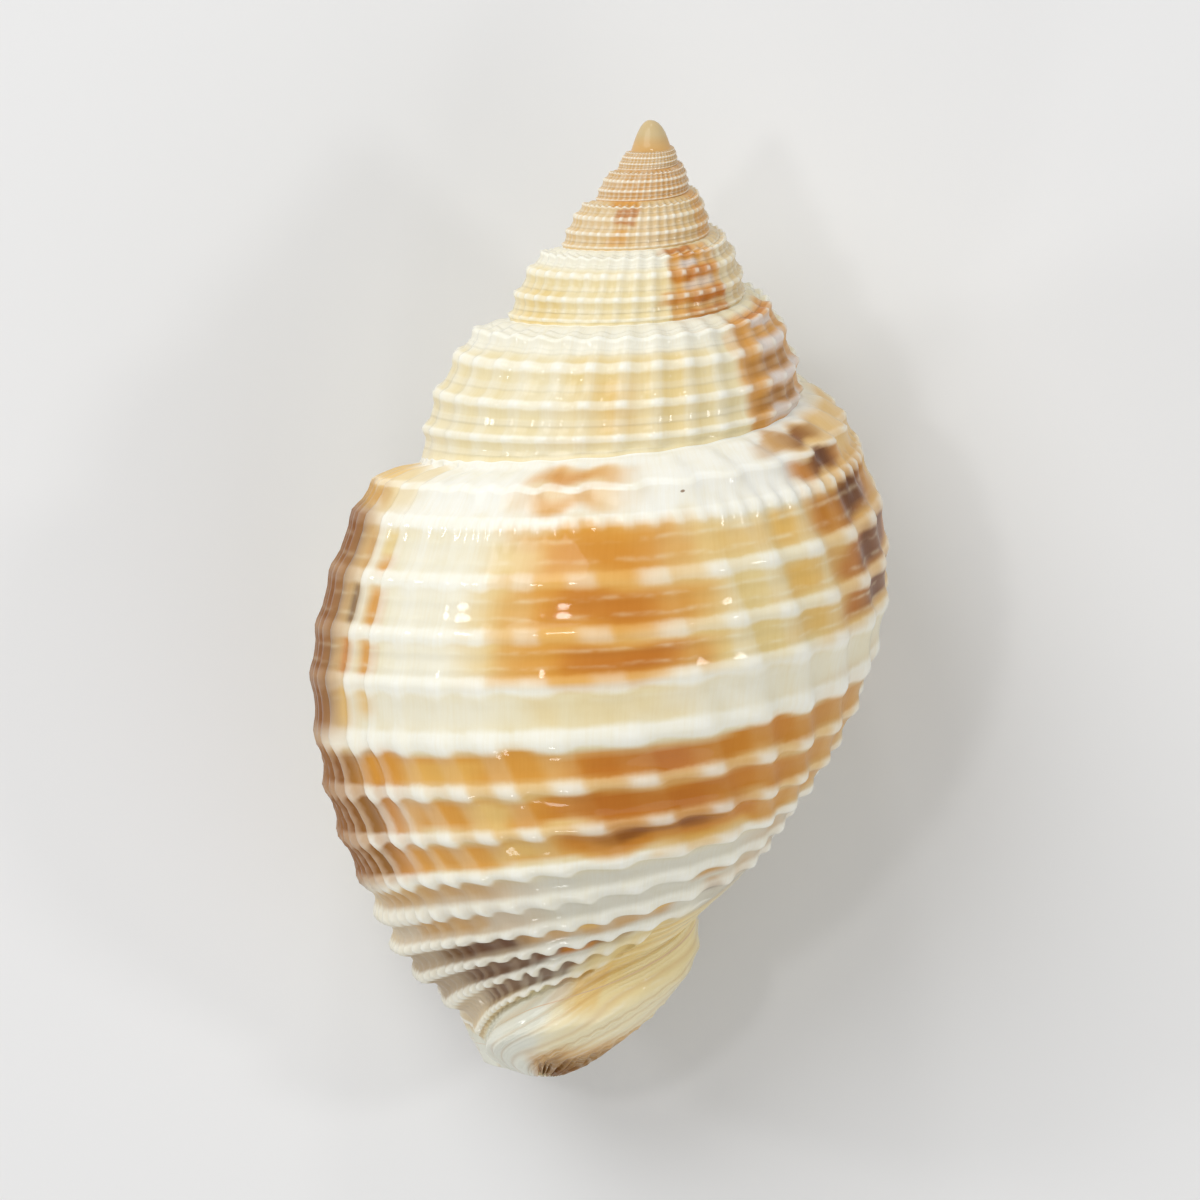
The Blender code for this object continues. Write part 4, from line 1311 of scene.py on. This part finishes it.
@dataclass(frozen=True)
class ShellFinish:
    """Colours and gloss of the shell.

    The patches are painted on the corners in two colours, one for the grooves and one for
    the cords; the material lays the cords over the grooves and adds the fine detail, with
    painted shade in the grooves and painted highlights on the bead tops and threads.
    """

    cords: Colour = IVORY
    grooves: Colour = CREAM
    inside: Colour = srgb(222, 192, 156)
    roughness: float = 0.3
    specular: float = 0.04
    coat: float = 0.4
    coat_ior: float = 1.45
    coat_roughness: float = 0.06
    wander: float = 0.014
    stray: float = 0.14
    streak_wave: float = 0.13
    streak_gap: float = 0.037
    clouds: float = 0.4
    bead_whiteness: float = 0.6
    # strength of the painted highlights on the bead tops
    bead_top_highlight: float = 0.45
    between_cords: float = 0.4
    groove_shade: float = 0.14
    # strength of the pale threads, partly their own colour and partly painted highlight
    thread_pale_and_highlight: float = 0.5
    thread_sharpness: float = 5.0
    striae: float = 0.12
    blotches: float = 0.2
    fold_edges: float = 0.25
    fold_lines: float = 0.3
    fleck: Span = (-0.4065, 1.6)
    blotch_scale: float = 900.0
    grain_scale: float = 2600.0
    striae_scale: Span = (420.0, 0.9)
    dash_scale: Span = (60.0, 4.0)
    grain_relief: float = 0.08
    thread_relief: float = 0.6
    striae_relief: float = 0.15
    fold_relief: float = 0.3
    bump: float = 0.6
    bump_distance: float = 0.0001
    lattice: int = 128
    drift_along: float = 40.0
    seed: int = 7
    grounds: tuple[Patch, ...] = body_grounds() + spire_grounds()
    markings: tuple[Patch, ...] = body_markings() + spire_markings()

    def drift(self, turn: np.ndarray, cord: np.ndarray, fine: float, layer: int) -> np.ndarray:
        """Smooth noise from -1 to 1 over the coil.

        Args:
            turn: Turns.
            cord: Cord counts.
            fine: Waves per cord.
            layer: Which noise.

        Returns:
            Noise at each place.
        """
        size = self.lattice
        knots = np.random.default_rng(self.seed + layer).uniform(-1.0, 1.0, (size, size))
        u = turn * fine * self.drift_along
        v = cord * fine
        i = np.floor(u).astype(int)
        j = np.floor(v).astype(int)
        a = ramp(u - i, 0.0, 1.0)
        b = ramp(v - j, 0.0, 1.0)
        low = knots[i % size, j % size] * (1 - a) + knots[(i + 1) % size, j % size] * a
        high = knots[i % size, (j + 1) % size] * (1 - a) + knots[(i + 1) % size, (j + 1) % size] * a
        return low * (1 - b) + high * b

    def ribs_shown(self, turn: np.ndarray, cord: np.ndarray) -> np.ndarray:
        """How far the ribs take the cords' colour, by zone: most on the left side."""
        left = 0.75 * ramp(turn, -0.27, -0.22) * (1.0 - 0.55 * ramp(turn, -0.165, -0.145))
        left = left * ramp(cord, 10.0, 8.5)
        right = 0.5 * ramp(turn, -0.42, -0.44) * ramp(turn, -0.56, -0.53)
        right = right * ramp(cord, 1.8, 2.1) * ramp(cord, 6.2, 5.8)
        bands = 0.4 * ramp(turn, -0.36, -0.3) * ramp(cord, 6.0, 6.3) * ramp(cord, 9.5, 9.0)
        upper = 0.15 * ramp(turn, -1.0, -0.95) * ramp(cord, 6.0, 5.0)
        spire = 0.5 * ramp(turn, -1.0, -1.05)
        return np.maximum.reduce([left, right, bands, upper, spire])

    def plain_beads(self, turn: np.ndarray, cord: np.ndarray) -> np.ndarray:
        """How far the beads keep their cord's colour: on the left side and across the bands."""
        left = ramp(turn, -0.2, -0.17) * ramp(cord, 11.0, 9.5)
        bands = 0.6 * ramp(turn, -0.33, -0.36) * ramp(turn, -0.62, -0.59)
        bands = bands * ramp(cord, 6.3, 6.6) * ramp(cord, 9.5, 9.2)
        return np.maximum(left, bands)

    def paint(self, turn: np.ndarray, cord: np.ndarray, ridge: np.ndarray) -> tuple[np.ndarray, np.ndarray]:
        """Colours in the grooves and on the cords, before the shader's fine detail.

        Args:
            turn: Turns.
            cord: Cord counts.
            ridge: Rib masks from 0 to 1.

        Returns:
            Colours in the grooves and colours on the cords, one per row.
        """
        sway = self.wander * (1.0 - 0.85 * ramp(turn, -0.27, -0.23))
        there = turn + sway * (0.6 * self.drift(turn, cord, 0.7, 0) + 0.4 * self.drift(turn, cord, 1.9, 1))
        wave = np.cos(TURN_ROUND * (turn + 0.343) / self.streak_gap + 2.0 * self.drift(turn, cord, 0.4, 3))
        wave = wave * ramp(cord, 2.2, 1.8) * ramp(turn, -0.6, -0.5)
        down = cord + self.stray * self.drift(turn, cord, 0.8, 2) + self.streak_wave * wave
        grooves = np.tile(self.grooves, (len(turn), 1))
        cords = np.tile(self.cords, (len(turn), 1))
        bare = np.ones((len(turn), 1))
        for patch in self.grounds:
            mask = patch.cover(there, down)[:, None] * patch.strength
            grooves += (np.array(patch.colour) - grooves) * mask
            cords += (np.array(patch.colour) - cords) * mask * patch.crests
        cloud = 0.5 * self.drift(turn, cord, 1.3, 4) + 0.5 * self.drift(turn, cord, 0.5, 5)
        cloud = ramp(cloud, -0.1, 0.5) * ramp(turn, -0.18, -0.21) * ramp(cord, 6.5, 6.0)
        grooves += (cords - grooves) * (self.clouds * cloud)[:, None]
        rib = self.ribs_shown(turn, cord) * ramp(ridge, 0.42, 0.84)
        grooves += (cords - grooves) * rib[:, None]
        thin = 1.0 - (0.1 + 0.18 * ramp(cord, 5.8, 6.3)) * ramp(ridge, 0.2, 0.8)
        for patch in self.markings:
            mask = (patch.cover(there, down) * thin)[:, None] * patch.strength
            grooves += (np.array(patch.colour) - grooves) * mask
            cords += (np.array(patch.colour) - cords) * mask * patch.crests
            bare *= 1.0 - 0.7 * mask * patch.crests
        bead = ramp(ridge, 0.35, 0.85) * (1.0 - 0.85 * self.plain_beads(turn, cord))
        cords += (np.array(IVORY) - cords) * bead[:, None] * self.bead_whiteness * bare
        return grooves, cords

    def dress(self, shell: bpy.types.Object) -> None:
        """Paint the shell's corners and give it its material."""
        mesh = shell.data
        coil, net = np.zeros((2, len(mesh.loops), 3), np.float32)
        mesh.attributes["coil"].data.foreach_get("vector", coil.reshape(-1))
        mesh.attributes["net"].data.foreach_get("vector", net.reshape(-1))
        paints = self.paint(coil[:, 0], coil[:, 1], net[:, 1])
        for name, colours in zip(("groove_paint", "cord_paint"), paints):
            layer = mesh.attributes.new(name, "FLOAT_COLOR", "CORNER")
            opaque = np.column_stack([colours, np.ones(len(colours))])
            layer.data.foreach_set("color", opaque.astype(np.float32).ravel())
        mesh.materials.append(self.material())

    def material(self) -> bpy.types.Material:
        """Make the shell's material.

        Returns:
            The material, driven by the corner attributes coil, net, growth and the two paints.
        """
        maker = NodeMaker("nutmeg_shell_glaze")
        turn, cord, region = maker.attribute("coil")
        line, ridge, width = maker.attribute("net")
        count, lamellar, _ = maker.attribute("growth")
        cords = maker.paint("cord_paint")
        place = maker.node("ShaderNodeTexCoord", {}, {}, "Object")
        blotch = maker.noise(place, self.blotch_scale, 4.0)
        grain = maker.noise(place, self.grain_scale, 3.0)
        striae = maker.vector(turn * self.striae_scale[0], cord * self.striae_scale[1])
        striae = maker.noise(striae, 1.0, 3.0, 0.6)
        dashes = maker.noise(maker.vector(turn * self.dash_scale[0], cord * self.dash_scale[1]), 1.0)
        # cords over grooves, and a pale thread halfway between them
        netted = width.step(0.01, 0.05)
        off = (line - line.math("ROUND")).math("ABSOLUTE")
        raised = (1.0 - ((off + (grain - 0.5) * 0.06) / (width + 0.02)).step(0.6, 1.3)) * netted
        colour = maker.mix(raised, maker.paint("groove_paint"), cords)
        between = (1.0 - (0.5 - off).step(0.05, 0.14)) * netted * (1.0 - turn.step(-1.02, -0.98))
        colour = maker.mix(between * self.between_cords, colour, cords)
        # painted shade: the grooves between the cords are darkened toward grey, standing in for shade in the
        # hollows
        colour = maker.stain((1.0 - raised) * netted * self.groove_shade, colour, SHADE_GREY)
        # painted highlights: pale spots on the bead tops that stand in for glints, weaker over the middle of
        # the back
        middle = turn.step(-0.43, -0.4) * (1.0 - turn.step(-0.31, -0.28)) * (1.0 - cord.step(5.2, 5.6))
        painted_highlight = ridge.step(0.55, 0.95) * (1.0 - (off / (width + 0.02)).step(0.2, 0.9)) * netted
        painted_highlight = painted_highlight * (1.0 - middle * 0.7) * (1.0 - turn.step(-0.2, -0.17))
        colour = maker.mix(painted_highlight * self.bead_top_highlight, colour, MILK)
        # fine threads of the upper whorl, broken into dashes: paler cream lines that are partly the threads'
        # own colour and partly painted highlight
        wave = (line * (3.0 * TURN_ROUND)).math("COSINE") * 0.5 + 0.5
        banded = cord.step(2.1, 2.4) * (1.0 - cord.step(5.0, 5.6)) * netted * turn.step(-0.62, -0.56)
        thread_pale_and_highlight_mask = wave ** self.thread_sharpness * banded * (1.0 - raised) * dashes.step(0.35, 0.7)
        colour = maker.mix(thread_pale_and_highlight_mask * self.thread_pale_and_highlight, colour, maker.mix(0.4, cords, CREAM))
        # growth striae and blotches in the glaze
        outside = 1.0 - region.step(0.2, 0.8)
        colour = maker.stain(striae.step(0.35, 0.75) * self.striae * outside, colour, BUTTER)
        colour = maker.stain(blotch.step(0.4, 0.8) * self.blotches, colour, CREAM)
        # edges and fine lines of the growth folds
        fold = (count * TURN_ROUND).math("COSINE") * 0.5 + 0.5
        fine = (count * (3.0 * TURN_ROUND) + grain * 3.0).math("COSINE") * 0.5 + 0.5
        lines = lamellar * fine ** 2.0 * blotch.step(0.4, 0.65)
        colour = maker.mix(lines * self.fold_lines, colour, IVORY)
        colour = maker.stain(lamellar * fold ** 6.0 * self.fold_edges, colour, TAN)
        # inside of the mouth, and one dark fleck under the seam
        colour = maker.mix(region.step(0.4, 0.9) * (1.0 - region.step(1.1, 1.6)), colour, self.inside)
        spot = ((turn - self.fleck[0]) * 600.0) ** 2.0 + ((cord - self.fleck[1]) * 26.0) ** 2.0
        colour = maker.mix((1.0 - spot.step(0.3, 1.4)) * 0.8, colour, DUSK)
        height = grain * self.grain_relief + (wave * banded + between) * self.thread_relief
        height = height + striae * netted * self.striae_relief + lamellar * fine * self.fold_relief
        relief = {"Strength": self.bump, "Distance": self.bump_distance, "Height": height}
        sockets = {"Base Color": colour, "Roughness": self.roughness, "Specular IOR Level": self.specular,
                   "Coat IOR": self.coat_ior, "Coat Weight": self.coat, "Coat Roughness": self.coat_roughness,
                   "Normal": maker.node("ShaderNodeBump", {}, relief)}
        for name, value in sockets.items():
            maker.plug(maker.shader.inputs[name], value)
        return maker.material


@dataclass
class Studio:
    """Floor, soft lamps and world. Each lamp has a name, a place, a size and a power."""

    floor_size: float = 3.0
    floor_colour: Colour = srgb(228, 228, 228)
    floor_roughness: float = 0.9
    world_strength: float = 0.37
    lamps: list[tuple[str, Point, float, float]] = field(default_factory=lambda: [
        ("key", (-0.18, 0.20, 0.30), 0.28, 0.75),
        ("fill", (0.22, -0.20, 0.26), 0.30, 0.30),
        ("glint", (-0.11, 0.03, 0.34), 0.032, 0.09),
        ("glint_left", (-0.30, 0.04, 0.16), 0.045, 0.12),
        ("glint_right", (0.25, 0.05, 0.24), 0.045, 0.12),
        ("glint_high", (-0.03, 0.31, 0.13), 0.045, 0.10),
        ("glint_low", (-0.05, -0.31, 0.14), 0.045, 0.08)])

    def build(self) -> None:
        """Make the floor, lamps and world."""
        bpy.ops.mesh.primitive_plane_add(size=self.floor_size)
        floor = bpy.context.object
        floor.name = "studio_floor"
        maker = NodeMaker("studio_floor")
        maker.plug(maker.shader.inputs["Base Color"], self.floor_colour)
        maker.plug(maker.shader.inputs["Roughness"], self.floor_roughness)
        floor.data.materials.append(maker.material)
        for name, spot, size, power in self.lamps:
            light = bpy.data.lights.new(name, "AREA")
            light.shape = "DISK"
            light.size = size
            light.energy = power
            lamp = bpy.data.objects.new(name, light)
            lamp.location = spot
            lamp.rotation_euler = (-Vector(spot)).to_track_quat("-Z", "Y").to_euler()
            bpy.context.scene.collection.objects.link(lamp)
        world = bpy.data.worlds.new("studio_world")
        world.use_nodes = True
        background = world.node_tree.nodes["Background"]
        background.inputs["Color"].default_value = (1.0, 1.0, 1.0, 1.0)
        background.inputs["Strength"].default_value = self.world_strength
        bpy.context.scene.world = world


@dataclass
class Viewpoint:
    """The camera, looking down on the shell's back.

    Angles are in degrees, the view's width and the camera's distance in metres. The view's
    middle is given in millimetres from the apex, to the right and up, and its height.
    """

    lean: float = 3.5
    tip_toward: float = 10.0
    width: float = 0.05184
    distance: float = 0.9
    sensor_mm: float = 36.0
    back_height: float = 10.0
    apex_offset: Span = (-2.246, -20.69)

    def build(self, shell: FineShell) -> None:
        """Make the camera and use it.

        Args:
            shell: The shell, whose own axes the view is given in.
        """
        tip = Matrix.Rotation(math.radians(-self.tip_toward), 3, "X")
        axes = tip @ Matrix.Rotation(math.radians(self.lean), 3, "Z")
        right, up, back = axes.col
        middle = right * self.apex_offset[0] + up * self.apex_offset[1] + back * self.back_height
        start = shell.lay_down(np.zeros(3))
        right, up, back = (Vector(shell.lay_down(np.array(axis)) - start).normalized() for axis in axes.col)
        camera_data = bpy.data.cameras.new("camera")
        camera_data.sensor_width = self.sensor_mm
        camera_data.lens = self.sensor_mm * self.distance / self.width
        camera_data.clip_start = 0.01
        camera = bpy.data.objects.new("camera", camera_data)
        turned = Matrix((right, up, back)).transposed().to_4x4()
        spot = Vector(shell.lay_down(np.array(middle))) + back * self.distance
        camera.matrix_world = Matrix.Translation(spot) @ turned
        bpy.context.scene.collection.objects.link(camera)
        bpy.context.scene.camera = camera


def main() -> None:
    """Build the shell, its finish, the studio and the camera."""
    logging.basicConfig(level=logging.INFO, format="%(message)s")
    bpy.context.scene.view_settings.view_transform = "Standard"
    builder = FineShell()
    shell = builder.build()
    ShellFinish().dress(shell)
    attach(shell, "root")
    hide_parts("shell")
    LOG.info("shell: %d faces", len(shell.data.polygons))
    Studio().build()
    LOG.info("studio: floor and lamps")
    Viewpoint().build(builder)
    LOG.info("camera: %s", tuple(bpy.context.scene.camera.location))


if __name__ == "__main__":
    main()
